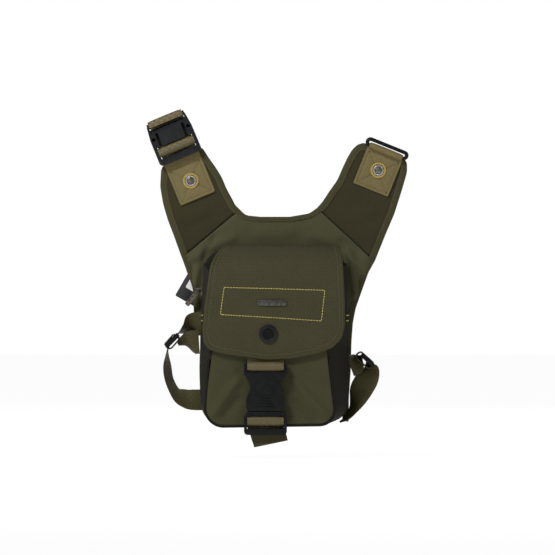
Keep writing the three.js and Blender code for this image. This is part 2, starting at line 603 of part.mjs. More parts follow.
function swingTag() {
  const y = Y.panelBack + GAP;
  const card = outline([[0, 0, 1.5], [50, 0, 1.5], [50, -32, 1.5], [0, -32, 1.5]], 3);
  const group = new THREE.Group();
  group.position.set(-107, y + 0.9, 36.2);
  group.rotation.y = THREE.MathUtils.degToRad(-60);
  const hole = rod('y', 1.6, 6, 4, 0, -16, 14);
  add('swing_tag', cut(plate(card, 0.3, -0.3), hole), 'card', group);
  pack.add(group);
}

backPad();
chestPanel();
shoulderArms();
rearCompartment();
zipSlider();
zipPull();
mainPouch();
pouchPiping();
flap();
flapHardware();
frontFemale();
frontMale();
closureStraps();
leftShoulder();
rightShoulder();
leftSideStrap();
rightSideStrap();
swingTag();

export default pack;
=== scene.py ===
"""Detailed pieces of a binocular harness pack, built around its fixed frame. Lengths in the tables are millimetres."""

import math

import bmesh
import bpy
import numpy as np
from bpy.props import FloatProperty, FloatVectorProperty, PointerProperty
from mathutils import Matrix, Vector, geometry, noise


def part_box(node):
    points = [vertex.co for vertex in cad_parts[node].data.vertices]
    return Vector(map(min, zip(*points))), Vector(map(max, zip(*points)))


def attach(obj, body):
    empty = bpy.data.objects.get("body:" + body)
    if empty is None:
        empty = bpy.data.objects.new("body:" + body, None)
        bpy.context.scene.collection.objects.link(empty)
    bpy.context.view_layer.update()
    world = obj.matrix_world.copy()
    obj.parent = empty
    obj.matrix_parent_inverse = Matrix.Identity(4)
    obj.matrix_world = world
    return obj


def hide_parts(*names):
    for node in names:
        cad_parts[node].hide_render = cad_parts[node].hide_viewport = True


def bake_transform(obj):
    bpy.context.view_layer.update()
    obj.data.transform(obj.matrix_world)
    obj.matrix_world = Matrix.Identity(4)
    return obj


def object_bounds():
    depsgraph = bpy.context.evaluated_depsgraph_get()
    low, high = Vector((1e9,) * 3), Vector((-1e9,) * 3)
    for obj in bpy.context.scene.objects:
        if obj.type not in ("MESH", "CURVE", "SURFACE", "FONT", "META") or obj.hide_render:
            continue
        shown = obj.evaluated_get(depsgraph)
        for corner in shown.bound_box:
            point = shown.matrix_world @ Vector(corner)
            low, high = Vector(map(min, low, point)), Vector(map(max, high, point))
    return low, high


bl_info = {
    "name": "Binocular Harness Pack",
    "version": (1, 0, 0),
    "blender": (4, 5, 0),
    "location": "3D View > Sidebar > Harness Pack",
    "description": "Builds the detailed pieces of a chest harness pack around its fixed frame",
    "category": "Object",
}

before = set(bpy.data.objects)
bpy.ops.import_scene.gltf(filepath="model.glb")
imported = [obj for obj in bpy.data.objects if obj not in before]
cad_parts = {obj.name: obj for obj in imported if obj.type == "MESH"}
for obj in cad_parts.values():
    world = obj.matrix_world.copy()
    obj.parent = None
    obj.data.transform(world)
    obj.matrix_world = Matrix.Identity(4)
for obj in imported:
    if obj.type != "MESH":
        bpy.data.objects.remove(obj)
CAD_BOX = [list(corner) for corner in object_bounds()]
MM = 0.001


def layer(node):
    """A node's rearmost and foremost y, in millimetres."""
    low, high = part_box(node)
    return high.y / MM, low.y / MM


PAD_BACK, PAD_FRONT = layer("back_pad")
PANEL_BACK, PANEL_FRONT = layer("chest_panel")
REAR_BACK, REAR_FRONT = layer("rear_compartment_gusset")
WALL_BACK, WALL_FRONT = layer("pouch_back_wall")
GUSSET_BACK, GUSSET_FRONT = layer("pouch_gusset")
FRONT_BACK, FRONT_FRONT = layer("pouch_front_panel")
TAB_BACK, TAB_FRONT = layer("left_tab")
FLAP_OUTER = layer("flap")[1]
FLAP_THICK = 3.2
ZIP_Y = sum(layer("zip_coil")) / 2
ROLL_Y = sum(layer("closure_strap_roll")) / 2
FEMALE_BAR_Z = -38
MALE_BAR_Z = -94.5
BUCKLE_X = -11.5
SIDE_Y = -28.4
WEB_WIDE = 38
LEFT_SEAM = ((-39.5, 126), (-98.8, 76.5))
RIGHT_SEAM = ((43.5, 127.7), (102.5, 72.7))


# ---------------------------------------------------------------- materials

FINE_GRAIN = 0.0002


def srgb(text):
    """A hex sRGB colour as linear red, green, blue."""
    parts = [int(text[i : i + 2], 16) / 255 for i in (0, 2, 4)]
    return tuple(c / 12.92 if c <= 0.04045 else ((c + 0.055) / 1.055) ** 2.4 for c in parts)


def rgba(colour):
    return (*colour, 1.0)


def add(tree, kind, links=None, **settings):
    """Adds a node, sets its sockets and properties, and links its inputs."""
    made = tree.nodes.new(kind)
    for key, value in settings.items():
        if hasattr(made, key):
            setattr(made, key, value)
        else:
            made.inputs[key.replace("_", " ")].default_value = value
    for socket, source in (links or {}).items():
        tree.links.new(source, made.inputs[socket])
    return made


def blank(name):
    """A new node material with its surface shader."""
    material = bpy.data.materials.new(name)
    material.use_nodes = True
    tree = material.node_tree
    tree.nodes.clear()
    shader = add(tree, "ShaderNodeBsdfPrincipled")
    add(tree, "ShaderNodeOutputMaterial", {"Surface": shader.outputs["BSDF"]})
    return material, tree, shader


def mix(tree, factor, a, b):
    """Mixes two colours by a factor socket. Each colour is a socket or a linear colour."""
    made = add(tree, "ShaderNodeMix", data_type="RGBA")
    for socket, value in ((made.inputs[0], factor), (made.inputs[6], a), (made.inputs[7], b)):
        if isinstance(value, bpy.types.NodeSocket):
            tree.links.new(value, socket)
        else:
            socket.default_value = rgba(value)
    return made.outputs[2]


def ramp(tree, factor, low, high):
    """A factor stretched so that low becomes 0 and high becomes 1."""
    made = add(tree, "ShaderNodeMapRange", {"Value": factor}, From_Min=low, From_Max=high)
    return made.outputs["Result"]


def thread_wave(tree, coords, direction, spacing):
    """Parallel threads a given number of millimetres apart, as a height from 0 to 1."""
    # A sine wave texture has its period at 2 pi / 20 units for a scale of 1.
    scale = 2 * math.pi / 20 / (spacing * MM)
    made = add(tree, "ShaderNodeTexWave", {"Vector": coords}, wave_type="BANDS", bands_direction=direction,
               wave_profile="SIN", Scale=scale, Distortion=0.6, Detail=1.0, Detail_Scale=2.0)
    return made.outputs["Fac"]


def coordinates(tree, kind="Object"):
    return add(tree, "ShaderNodeTexCoord").outputs[kind]


def noise_at(tree, place, scale, detail, **settings):
    made = add(tree, "ShaderNodeTexNoise", {"Vector": place}, Scale=scale, Detail=detail, **settings)
    return made.outputs["Fac"]


def weave(tree, place, spacing_x, spacing_y, check):
    """Threads that pass over and under each other in squares of two checks."""
    across, along = thread_wave(tree, place, "X", spacing_x), thread_wave(tree, place, "Y", spacing_y)
    checks = add(tree, "ShaderNodeTexChecker", {"Vector": place}, Scale=1 / (check * MM) / 2)
    return mix(tree, checks.outputs["Fac"], across, along)


def share(tree, factor, part):
    made = add(tree, "ShaderNodeMath", operation="MULTIPLY")
    tree.links.new(factor, made.inputs[0])
    made.inputs[1].default_value = part
    return made.outputs[0]


def tint(base, factor, lift=0.0):
    return tuple(min(1, c * factor + lift) for c in base)


def bumped(tree, height, strength, distance, under=None):
    """A normal from a height, on top of another normal if one is given."""
    links = {"Height": height, "Normal": under} if under else {"Height": height}
    return add(tree, "ShaderNodeBump", links, Strength=strength, Distance=distance).outputs["Normal"]


def dress(tree, shader, colour, normal, **levels):
    """Links the colour and the normal, and sets the shader's plain values."""
    tree.links.new(colour, shader.inputs["Base Color"])
    tree.links.new(normal, shader.inputs["Normal"])
    for name, value in levels.items():
        shader.inputs[name.replace("_", " ")].default_value = value


def uneven_roughness(tree, shader, factor, least, most):
    rough = add(tree, "ShaderNodeMapRange", {"Value": factor}, To_Min=least, To_Max=most)
    tree.links.new(rough.outputs["Result"], shader.inputs["Roughness"])


def woven(name, base, spacing, contrast, depth):
    """Woven nylon: warp and weft threads on the piece's own UV map, with slow fading and a fine fuzz."""
    material, tree, shader = blank(name)
    place = coordinates(tree, "UV")
    height = weave(tree, place, spacing, spacing, spacing)
    slow = noise_at(tree, place, 38.0, 3.0, Roughness=0.6)
    fine = noise_at(tree, place, 1400.0, 2.0)
    # Low threads are painted darker and high threads paler: painted shade and painted highlight following the weave's
    # relief.
    cloth = mix(tree, ramp(tree, height, 0.1, 0.9), tint(base, 1 - contrast), tint(base, 1 + contrast))
    cloth = mix(tree, share(tree, ramp(tree, slow, 0.35, 0.75), 0.45), cloth, tint(base, 1.16, 0.004))
    cloth = mix(tree, share(tree, fine, 0.35), cloth, tint(base, 0.72))
    threads = bumped(tree, height, depth, spacing * MM * 0.35)
    dress(tree, shader, cloth, bumped(tree, fine, 0.25, FINE_GRAIN, threads), Roughness=0.88,
          Specular_IOR_Level=0.12, Sheen_Weight=0.03, Sheen_Roughness=0.45, Sheen_Tint=rgba(tint(base, 4)))
    return material


def webbing(name, base, rib, gloss, shine):
    """Flat woven webbing: ribs across the strap, warp threads along it, and a satin shine from the filament yarn."""
    material, tree, shader = blank(name)
    place = coordinates(tree, "UV")
    height = weave(tree, place, rib, rib * 0.8, rib)
    slow = noise_at(tree, place, 55.0, 3.0)
    # Ribs are painted darker where they dip and paler where they rise: painted shade and painted highlight on the
    # relief.
    cloth = mix(tree, height, tint(base, 0.78), tint(base, 1.18))
    cloth = mix(tree, share(tree, ramp(tree, slow, 0.4, 0.8), 0.4), cloth, tint(base, 1.3))
    dress(tree, shader, cloth, bumped(tree, height, 0.45, rib * MM * 0.3), Roughness=gloss,
          Specular_IOR_Level=shine)
    return material


def spacer_mesh(name, base, cell=3.2):
    """Knitted air mesh: open round holes in a soft polyester face."""
    material, tree, shader = blank(name)
    place = coordinates(tree, "UV")
    cells = add(tree, "ShaderNodeTexVoronoi", {"Vector": place}, feature="F1", Scale=1 / (cell * MM), Randomness=0.12)
    # The holes are painted dark: painted shade inside them.
    hole = ramp(tree, cells.outputs["Distance"], 0.28, 0.42)
    cloth = mix(tree, thread_wave(tree, place, "Y", 0.9), base, tint(base, 1.5))
    dress(tree, shader, mix(tree, hole, tint(base, 0.18), cloth), bumped(tree, hole, 0.9, 0.0009), Roughness=0.92,
          Specular_IOR_Level=0.2)
    return material


def moulded(name, base, roughness, grain=0.12, level=0.14):
    """Injection-moulded plastic: a fine spark-eroded grain that scatters the highlights, paler on rubbed spots."""
    material, tree, shader = blank(name)
    place = coordinates(tree)
    fine, slow = noise_at(tree, place, 2600.0, 2.0), noise_at(tree, place, 160.0, 4.0)
    body = mix(tree, ramp(tree, slow, 0.4, 0.75), base, tint(base, 1.35, 0.002))
    uneven_roughness(tree, shader, slow, roughness - 0.07, roughness + 0.1)
    dress(tree, shader, body, bumped(tree, fine, grain, 0.0003), Specular_IOR_Level=level)
    return material


def plated(name, base, roughness, worn):
    """Plated metal casting with a slow tarnish and fine rubbing marks."""
    material, tree, shader = blank(name)
    place = coordinates(tree)
    slow = noise_at(tree, place, 420.0, 5.0)
    streak = add(tree, "ShaderNodeMapping", {"Vector": place}, Scale=(300, 300, 4200))
    marks = noise_at(tree, streak.outputs["Vector"], 1.0, 3.0)
    uneven_roughness(tree, shader, marks, roughness - 0.1, roughness + 0.15)
    dress(tree, shader, mix(tree, ramp(tree, slow, 0.42, 0.7), base, worn), bumped(tree, marks, 0.15, FINE_GRAIN),
          Metallic=1.0)
    return material


def spun_thread(name, base, twist=0.7):
    """Twisted polyester sewing thread: slanting ply lines with a soft shine."""
    material, tree, shader = blank(name)
    turned = add(tree, "ShaderNodeMapping", {"Vector": coordinates(tree)}, Rotation=(0.3, 0.8, 0.5))
    plies = thread_wave(tree, turned.outputs["Vector"], "X", twist)
    # The ply grooves are painted darker: painted shade between the plies.
    dress(tree, shader, mix(tree, plies, tint(base, 0.7), base), bumped(tree, plies, 0.4, FINE_GRAIN),
          Roughness=0.55, Specular_IOR_Level=0.35)
    return material


def coated_card(name, base, roughness):
    """Printed board under a thin lacquer: faint fibre mottling and an even low gloss."""
    material, tree, shader = blank(name)
    fibre = noise_at(tree, coordinates(tree), 900.0, 4.0)
    dress(tree, shader, mix(tree, fibre, tint(base, 0.85), base), bumped(tree, fibre, 0.08, FINE_GRAIN),
          Roughness=roughness)
    return material


MATERIALS = {}


def make_materials(look):
    """Makes every finish once, from the colours in the panel."""
    tan, black = tuple(look.webbing_colour), tuple(look.buckle_colour)
    MATERIALS.update({
        # 1680-denier nylon in a basket weave: its threads are thick enough to show as a grain.
        "basket_nylon": woven("basket_weave_nylon_1680d", tuple(look.flap_colour), 1.9, 0.3, 0.5),
        # 600-denier polyester, plain weave, smoother and a little paler; drawn coarser than its 0.5 mm threads.
        "panel_cloth": woven("plain_weave_polyester_600d", tuple(look.panel_colour), 1.2, 0.16, 0.25),
        "arm_cloth": woven("plain_weave_polyester_arm", srgb("353120"), 1.2, 0.2, 0.3),
        "pouch_cloth": woven("plain_weave_polyester_pouch", srgb("3f3e2a"), 1.2, 0.18, 0.28),
        # Painted shade: the gusset cloth is much darker than the pouch front, standing in for the shade on the pouch's
        # side walls and recesses.
        "shaded_gusset_cloth": woven("plain_weave_polyester_gusset_painted_shade", srgb("23221c"), 1.2, 0.18, 0.28),
        # Edging tape: matt ribs across a narrow band.
        "edge_tape": webbing("polyester_edging_tape", srgb("403d29"), 1.1, 0.72, 0.08),
        "dark_tape": webbing("polyester_piping_tape", srgb("1c1b16"), 1.1, 0.75, 0.08),
        "mesh_cloth": spacer_mesh("polyester_spacer_mesh", srgb("2b2c24")),
        # Filament nylon webbing shines like satin where it rolls over a bar.
        "tan_webbing": webbing("filament_nylon_webbing_tan", tan, 1.6, 0.42, 0.3),
        "tab_webbing": webbing("filament_nylon_webbing_tab", tint(tan, 1.55), 1.6, 0.55, 0.1),
        "olive_webbing": webbing("polypropylene_webbing_olive", srgb("464229"), 1.5, 0.5, 0.15),
        # The free tail is the same webbing with painted shade: darkened as if turned away from the light, and less
        # red.
        "tail_webbing": webbing("filament_nylon_webbing_tail_painted_shade",
                                tuple(c * part for c, part in zip(tan, (0.5, 0.56, 0.6))), 1.6, 0.5, 0.1),
        "acetal": moulded("moulded_black_acetal", black, 0.46),
        "acetal_plate": moulded("moulded_black_acetal_polished", tint(black, 1.7), 0.3, 0.06, 0.22),
        "zip_metal": plated("black_nickel_plated_zinc", srgb("6d675c"), 0.34, srgb("47433c")),
        "badge_metal": plated("antique_nickel_plated_zinc", srgb("5d5b57"), 0.36, srgb("3c3a37")),
        "snap_metal": plated("nickel_plated_brass", srgb("c9c8c2"), 0.3, srgb("98978f")),
        "stud_metal": plated("gunmetal_plated_brass", srgb("7f7e76"), 0.36, srgb("4c4b46")),
        "yellow_thread": spun_thread("polyester_thread_yellow", tuple(look.stitch_colour)),
        "olive_thread": spun_thread("polyester_thread_olive", srgb("5b573c")),
        "tan_thread": spun_thread("polyester_thread_tan", srgb("4f4329")),
        "eyelet_thread": spun_thread("polyester_thread_gold", srgb("b39a55")),
        "nylon_coil": moulded("drawn_nylon_monofilament", srgb("2b2a22"), 0.4, 0.05),
        "dark_card": coated_card("coated_board_black", srgb("1f2022"), 0.5),
        "white_card": coated_card("coated_board_white", srgb("e9eaec"), 0.6),
        "port_cloth": moulded("woven_nylon_gauze", srgb("15181d"), 0.6, 0.2),
    })


# ---------------------------------------------------------------- outlines


def rounded(corners, step=2.0, closed=True):
    """A smooth outline from corners (x, z) or (x, z, radius), with a point about every step."""
    points = []
    count = len(corners)
    for i, corner in enumerate(corners):
        here = Vector(corner[:2])
        radius = corner[2] if len(corner) > 2 else 0
        if not radius or (not closed and i in (0, count - 1)):
            points.append(here)
            continue
        before = (Vector(corners[i - 1][:2]) - here).normalized()
        after = (Vector(corners[(i + 1) % count][:2]) - here).normalized()
        half = math.acos(max(-1, min(1, before.dot(after)))) / 2
        reach = radius / math.tan(half)
        start, end, weight = here + before * reach, here + after * reach, math.sin(half)
        steps = max(4, int(radius * (math.pi - 2 * half) / step) + 1)
        for k in range(steps + 1):
            t = k / steps
            d = (1 - t) ** 2 + 2 * weight * t * (1 - t) + t * t
            points.append((start * (1 - t) ** 2 + here * (2 * weight * t * (1 - t)) + end * t * t) / d)
    return respace(points, step, closed)


def running_lengths(line, start=0.0):
    """The length of the line up to each of its points."""
    lengths = [start]
    for a, b in zip(line, line[1:]):
        lengths.append(lengths[-1] + (b - a).length)
    return lengths


def respace(points, step=None, closed=True, count=None):
    """The same line with evenly spaced points: about a step apart, or a given count of spans."""
    line = [Vector(p) for p in points]
    if closed:
        line.append(line[0])
    lengths = running_lengths(line)
    spans = count or max(3, round(lengths[-1] / step))
    made, k = [], 0
    for i in range(spans if closed else spans + 1):
        want = lengths[-1] * i / spans
        while k < len(line) - 2 and lengths[k + 1] < want:
            k += 1
        span = lengths[k + 1] - lengths[k]
        made.append(line[k].lerp(line[k + 1], (want - lengths[k]) / span if span else 0))
    return made


def directions(points, closed=False):
    """The line's direction at each of its points."""
    made = []
    for i in range(len(points)):
        before = points[i - 1] if closed or i else points[0]
        after = points[(i + 1) % len(points)] if closed or i < len(points) - 1 else points[-1]
        made.append((after - before).normalized())
    return made


def moved_left(path, distance):
    """An open line, moved sideways to its left."""
    return [p + Vector((-along.y, along.x)) * distance for p, along in zip(path, directions(path))]


def turned_left(points):
    """The outline, running anticlockwise."""
    area = sum(a.x * b.y - b.x * a.y for a, b in zip(points, points[1:] + points[:1]))
    return points if area > 0 else points[::-1]


def edge_distance(points, edge, closed=True, stretch=1.0):
    """Each point's distance to the outline; stretch makes some of its segments count as further away."""
    a = np.array([tuple(p) for p in edge], float)
    b = np.roll(a, -1, 0)
    if not closed:
        a, b = a[:-1], b[:-1]
    along = b - a
    t = (((points[:, None] - a) * along).sum(-1) / (along * along).sum(-1)).clip(0, 1)
    return (np.sqrt((((a + t[..., None] * along) - points[:, None]) ** 2).sum(-1)) * stretch).min(1)


def inside(points, edge):
    """Which of the points the outline encloses."""
    a = np.array([tuple(p) for p in edge], float)
    b = np.roll(a, -1, 0)
    x, y = points[:, :1], points[:, 1:]
    cross = (a[:, 1] > y) != (b[:, 1] > y)
    rise = np.where(b[:, 1] == a[:, 1], 1e-9, b[:, 1] - a[:, 1])
    return (cross & (x < (b[:, 0] - a[:, 0]) * (y - a[:, 1]) / rise + a[:, 0])).sum(1) % 2 == 1


def smoothstep(x):
    x = np.clip(x, 0, 1)
    return x * x * (3 - 2 * x)


def ridge(points, start, end, width, height):
    """A soft fold along a line, dying away at its ends and over its width."""
    a, b = np.array(start, float), np.array(end, float)
    along = b - a
    t = ((points - a) @ along) / (along @ along)
    off = np.abs((points - a) @ np.array([-along[1], along[0]])) / np.linalg.norm(along)
    fade = smoothstep(t / 0.25 + 0.25) * smoothstep((1 - t) / 0.25 + 0.25)
    return height * np.exp(-((off / width) ** 2)) * fade


def ripples(points, size, height, seed):
    """Slow uneven swelling of the cloth."""
    return np.array([noise.noise(Vector((u / size, v / size, seed))) for u, v in points]) * height


def creased(ripple, folds, scale=1.0):
    """A panel's relief: a ripple (size, height, seed) with folds (start, end, width, height) on top."""

    def relief(points, distance):
        made = ripples(points, *ripple)
        for start, end, width, height in folds:
            made = made + ridge(points, start, end, width, height * scale)
        return made

    return relief


# ---------------------------------------------------------------- meshes


def activate(obj):
    """Makes an object the only one selected, and the active one."""
    bpy.ops.object.select_all(action="DESELECT")
    obj.select_set(True)
    bpy.context.view_layer.objects.active = obj


def build(name, points, faces, uvs):
    """A mesh object from millimetre points, with one UV pair for each face corner."""
    mesh = bpy.data.meshes.new(name)
    mesh.from_pydata([tuple(c * MM for c in p) for p in points], [], faces)
    sheet = mesh.uv_layers.new(name="UVMap")
    sheet.data.foreach_set("uv", np.array(uvs, np.float32).ravel() * MM)
    mesh.validate()
    obj = bpy.data.objects.new(name, mesh)
    bpy.context.scene.collection.objects.link(obj)
    return obj


def finish(obj, material, body, nodes=(), angle=50, blend=None):
    """Gives a piece its material, smooth shading, body and the nodes that it stands for."""
    obj.data.materials.clear()
    obj.data.materials.append(MATERIALS[material])
    activate(obj)
    bpy.ops.object.shade_smooth_by_angle(angle=math.radians(angle))
    if nodes:
        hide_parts(*nodes)
    if blend:
        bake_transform(obj)
    else:
        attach(obj, body)
    return obj


SEAM_SHARPNESS = 3.0


def slab(name, edge, place, top, bottom, step, rim, seams=()):
    """A closed padded shape over an outline. top and bottom give heights from points and their distance to the edge.
    Along its seams the edge is rounded less, so that two panels meet in a narrow groove."""
    edge = turned_left([Vector(p) for p in edge])
    n = len(edge)
    stretch = np.ones(n)
    middles = np.array([tuple((p + q) / 2) for p, q in zip(edge, edge[1:] + edge[:1])])
    for seam in seams:
        stretch[edge_distance(middles, [Vector(p) for p in seam], closed=False) < 1.0] = SEAM_SHARPNESS
    rings = []
    for off in (0.12 * rim, 0.4 * rim, rim):
        ring = np.array([(p.x - along.y * off, p.y + along.x * off)
                         for p, along in zip(edge, directions(edge, closed=True))])
        rings.append(ring[inside(ring, edge) & (edge_distance(ring, edge) > 0.85 * off)])
    flat = np.array([tuple(p) for p in edge])
    low, high = flat.min(0), flat.max(0)
    rows = np.arange(low[1], high[1], step * 0.87)
    grid = np.array([(x + (step / 2 if k % 2 else 0), z) for k, z in enumerate(rows)
                     for x in np.arange(low[0], high[0], step)])
    grid = grid[inside(grid, edge)]
    grid = grid[edge_distance(grid, edge) > rim + 0.45 * step]
    points = [Vector(p) for p in np.vstack([flat, *rings, grid])]
    made = geometry.delaunay_2d_cdt(points, [(i, (i + 1) % n) for i in range(n)], [], 1, 1e-4)
    found, triangles, origins = made[0], made[2], made[3]
    border = {}
    for index, sources in enumerate(origins):
        for source in sources:
            if source < n:
                border[source] = index
    flat = np.array([tuple(p) for p in found])
    distance = edge_distance(flat, edge, stretch=stretch)
    front, back = top(flat, distance), bottom(flat, distance)
    count = len(flat)
    points = [place(u, v, h) for (u, v), h in zip(flat, front)] + [place(u, v, h) for (u, v), h in zip(flat, back)]
    faces, uvs = [], []
    shift = np.array([0.0, 1.5])
    for face in triangles:
        faces.append(tuple(face))
        faces.append(tuple(i + count for i in reversed(face)))
        uvs += [flat[i] for i in face] + [flat[i] for i in reversed(face)]
    for i in range(n):
        a, b = border[i], border[(i + 1) % n]
        faces.append((a + count, b + count, b, a))
        uvs += [flat[a] + shift, flat[b] + shift, flat[b], flat[a]]
    return build(name, points, faces, uvs)


def domed(full, edge_share, rim, relief=None):
    """A height that rises from a thin edge to its full value over the rim, with relief added inside."""

    def height(points, distance):
        lift = np.sqrt(1 - (1 - np.clip(distance / rim, 0, 1)) ** 2)
        made = full * (edge_share + (1 - edge_share) * lift)
        return made + (relief(points, distance) * lift if relief else 0)

    return height


def panel_slab(name, edge, back, front, rim, step, relief=None, back_relief=None, seams=()):
    """A padded panel standing in the XZ plane between two y values."""
    middle = (back + front) / 2
    half = abs(front - back) / 2
    return slab(name, edge, lambda u, v, h: (u, middle - h, v),
                domed(half, 0.25, rim, relief), domed(-half, 0.25, rim, back_relief), step, rim, seams)


def sheet_of(name, edge, y, half):
    """A flat plate standing in the XZ plane round a y value."""
    return slab(name, edge, lambda u, v, h: (u, y - h, v), lambda p, d: np.full(len(p), half),
                lambda p, d: np.full(len(p), -half), 6.0, 0.5)


def loft(name, rows, closed=False):
    """Joins rings of equal count into one skin. closed joins the last ring to the first."""
    k = len(rows[0])
    points = [p for row in rows for p in row]
    centres = [sum((Vector(p) for p in row), Vector()) / k for row in rows]
    first = [Vector(p) for p in rows[0]]
    along, around = running_lengths(centres + centres[:1]), running_lengths(first + first[:1])
    faces, uvs = [], []
    for i in range(len(rows) if closed else len(rows) - 1):
        j = (i + 1) % len(rows)
        for m in range(k):
            q = (m + 1) % k
            faces.append((i * k + m, j * k + m, j * k + q, i * k + q))
            uvs += [(along[i], around[m]), (along[i + 1], around[m]),
                    (along[i + 1], around[m + 1]), (along[i], around[m + 1])]
    if not closed:
        for ring, face in ((0, list(range(k))), (len(rows) - 1, list(reversed(range(k))))):
            faces.append(tuple(ring * k + m for m in face))
            uvs += [(along[ring], around[m]) for m in face]
    obj = build(name, points, faces, uvs)
    outward(obj)
    return obj


def outward(obj):
    """Turns a closed skin's faces outwards."""
    cage = bmesh.new()
    cage.from_mesh(obj.data)
    bmesh.ops.recalc_face_normals(cage, faces=cage.faces)
    cage.to_mesh(obj.data)
    cage.free()


def curve_through(stations, count):
    """A Catmull-Rom curve through stations, with count + 1 points. Every number of a station is interpolated."""
    data = [np.array(s, float) for s in stations]
    made = []
    for i in range(count + 1):
        t = i / count * (len(data) - 1)
        k = min(int(t), len(data) - 2)
        f = t - k
        a, b, c, d = (data[max(0, min(len(data) - 1, k + j))] for j in (-1, 0, 1, 2))
        made.append(0.5 * (2 * b + (c - a) * f + (2 * a - 5 * b + 4 * c - d) * f * f
                           + (3 * b - a - 3 * c + d) * f ** 3))
    return made


def band_profile(width, thickness):
    """A webbing's cross-section: flat, with a slightly thicker middle and round selvedges."""
    made, across, swell = [], 8, 0.12
    for sign in (1, -1):
        for i in range(across + 1):
            s = (-1 + 2 * i / across) * sign
            lift = (1 - abs(s) ** 6) ** 0.5 if abs(s) < 1 else 0.0
            made.append((s * width / 2, -sign * thickness / 2 * (0.35 + 0.65 * lift) * (1 + swell * (1 - s * s))))
    return made


def strap(name, stations, width, thickness, count):
    """Webbing along stations (x, y, z, width direction)."""
    path = curve_through(stations, count)
    profile = band_profile(width, thickness)
    rows = []
    for station, tangent in zip(path, directions([Vector(s[:3]) for s in path])):
        here, across = Vector(station[:3]), Vector(station[3:6])
        across = (across - tangent * across.dot(tangent)).normalized()
        normal = tangent.cross(across)
        rows.append([here + across * a + normal * b for a, b in profile])
    return loft(name, rows)


def tape_round(name, path, outside, width, back, front, roll=1.1, closed=False):
    """Edging tape folded over a panel's edge: width on each face, round at the edge.
    path runs in the XZ plane, outside is +1 if the open air is on its right."""
    middle, half = (back + front) / 2, abs(front - back) / 2
    turns = [math.pi * k / 8 for k in range(9)]
    ring = [(-width, -half - 0.35), (-width * 0.5, -half - 0.55)]
    ring += [(roll * math.sin(turn), -math.cos(turn) * (half + 0.25)) for turn in turns]
    ring += [(-width * 0.5, half + 0.55), (-width, half + 0.35), (-width - 0.2, half - 0.8),
             (-width - 0.2, -half + 0.8)]
    rows = []
    for p, along in zip(path, directions(path, closed)):
        out = Vector((along.y, -along.x)) * outside
        rows.append([(p.x + out.x * a, middle - b, p.y + out.y * a) for a, b in ring])
    return loft(name, rows, closed=closed)


def tube(name, path, radius, sides=10):
    """A round cord or piping along 3-D points."""
    rows = []
    normal = Vector((0, 1, 0))
    for p, tangent in zip(path, directions(path)):
        normal = (normal - tangent * normal.dot(tangent)).normalized()
        side = tangent.cross(normal)
        rows.append([p + normal * math.cos(a) * radius + side * math.sin(a) * radius
                     for a in (2 * math.pi * k / sides for k in range(sides))])
    return loft(name, rows)


def standing(middle, x, y, z):
    """A place for a small shape: its middle and its three axes."""
    return Matrix.Translation(middle) @ Matrix((x, y, z)).transposed().to_4x4()


def scattered(name, template, places):
    """Copies of one small shape at many places, as one object. Each place is a matrix in millimetres."""
    verts = [v.co.copy() for v in template.data.vertices]
    quads = [list(f.vertices) for f in template.data.polygons]
    points, faces, uvs = [], [], []
    for matrix in places:
        base = len(points)
        points += [tuple(matrix @ v) for v in verts]
        for quad in quads:
            faces.append(tuple(i + base for i in quad))
            uvs += [(verts[i].x, verts[i].y) for i in quad]
    bpy.data.objects.remove(template)
    return build(name, points, faces, uvs)


def stitch_shape(length, radius):
    """One sewing stitch as a small spindle along X, in millimetres."""
    bpy.ops.object.select_all(action="DESELECT")
    bpy.ops.mesh.primitive_uv_sphere_add(segments=8, ring_count=6, radius=1)
    made = bpy.context.object
    made.data.transform(Matrix.Rotation(math.pi / 2, 4, "Y"))
    for v in made.data.vertices:
        full = math.copysign(abs(v.co.x) ** 0.7, v.co.x)
        v.co = Vector((full * length / 2, v.co.y * radius, v.co.z * radius))
    return made


def sewn(name, path, place, pitch, length, radius, material, slot, body, lift=0.0, blend=None):
    """A row of stitches along a path on a surface. place turns (u, v, height) into a point."""
    points = respace([Vector(p) for p in path], pitch, closed=False)
    places = []
    for a, b in zip(points, points[1:]):
        here, there = Vector(place(a.x, a.y, lift)), Vector(place(b.x, b.y, lift))
        up = (Vector(place(a.x, a.y, lift + 1)) - here).normalized()
        along = (there - here).normalized()
        side = up.cross(along).normalized()
        places.append(standing((here + there) / 2, along, side, up))
    obj = scattered(name, stitch_shape(length, radius), places)
    return finish(obj, material, body, blend=blend)


def moulding(node, name, material, body, bevel=0.4, segments=2, angle=35):
    """A hard part: the node's own shape with its doubles merged, flat faces cleaned and edges rounded."""
    obj = bpy.data.objects.new(name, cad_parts[node].data.copy())
    bpy.context.scene.collection.objects.link(obj)
    activate(obj)
    bpy.ops.object.mode_set(mode="EDIT")
    bpy.ops.mesh.select_all(action="SELECT")
    bpy.ops.mesh.remove_doubles(threshold=1e-6)
    bpy.ops.mesh.dissolve_limited(angle_limit=math.radians(1.0))
    bpy.ops.object.mode_set(mode="OBJECT")
    soft = obj.modifiers.new("Rounded edges", "BEVEL")
    soft.width, soft.segments = bevel * MM, segments
    soft.limit_method, soft.angle_limit = "ANGLE", math.radians(angle)
    soft.harden_normals = False
    bpy.ops.object.modifier_apply(modifier=soft.name)
    return finish(obj, material, body, [node], angle=40)


def on_panel(front):
    """Places (x, z, height) on a face standing at y = front."""
    return lambda u, v, h: (u, front - h, v)


def turned_place(origin, lean, front):
    """Places a shoulder's own (x, z, height) in the pack's frame."""
    c, s = math.cos(lean), math.sin(lean)
    return lambda u, v, h: (origin[0] + u * c + v * s, front - h, origin[1] - u * s + v * c)


# ---------------------------------------------------------------- settings


def colour_setting(name, description, text):
    return FloatVectorProperty(name=name, description=description, subtype="COLOR", size=3, min=0, max=1,
                               default=srgb(text))


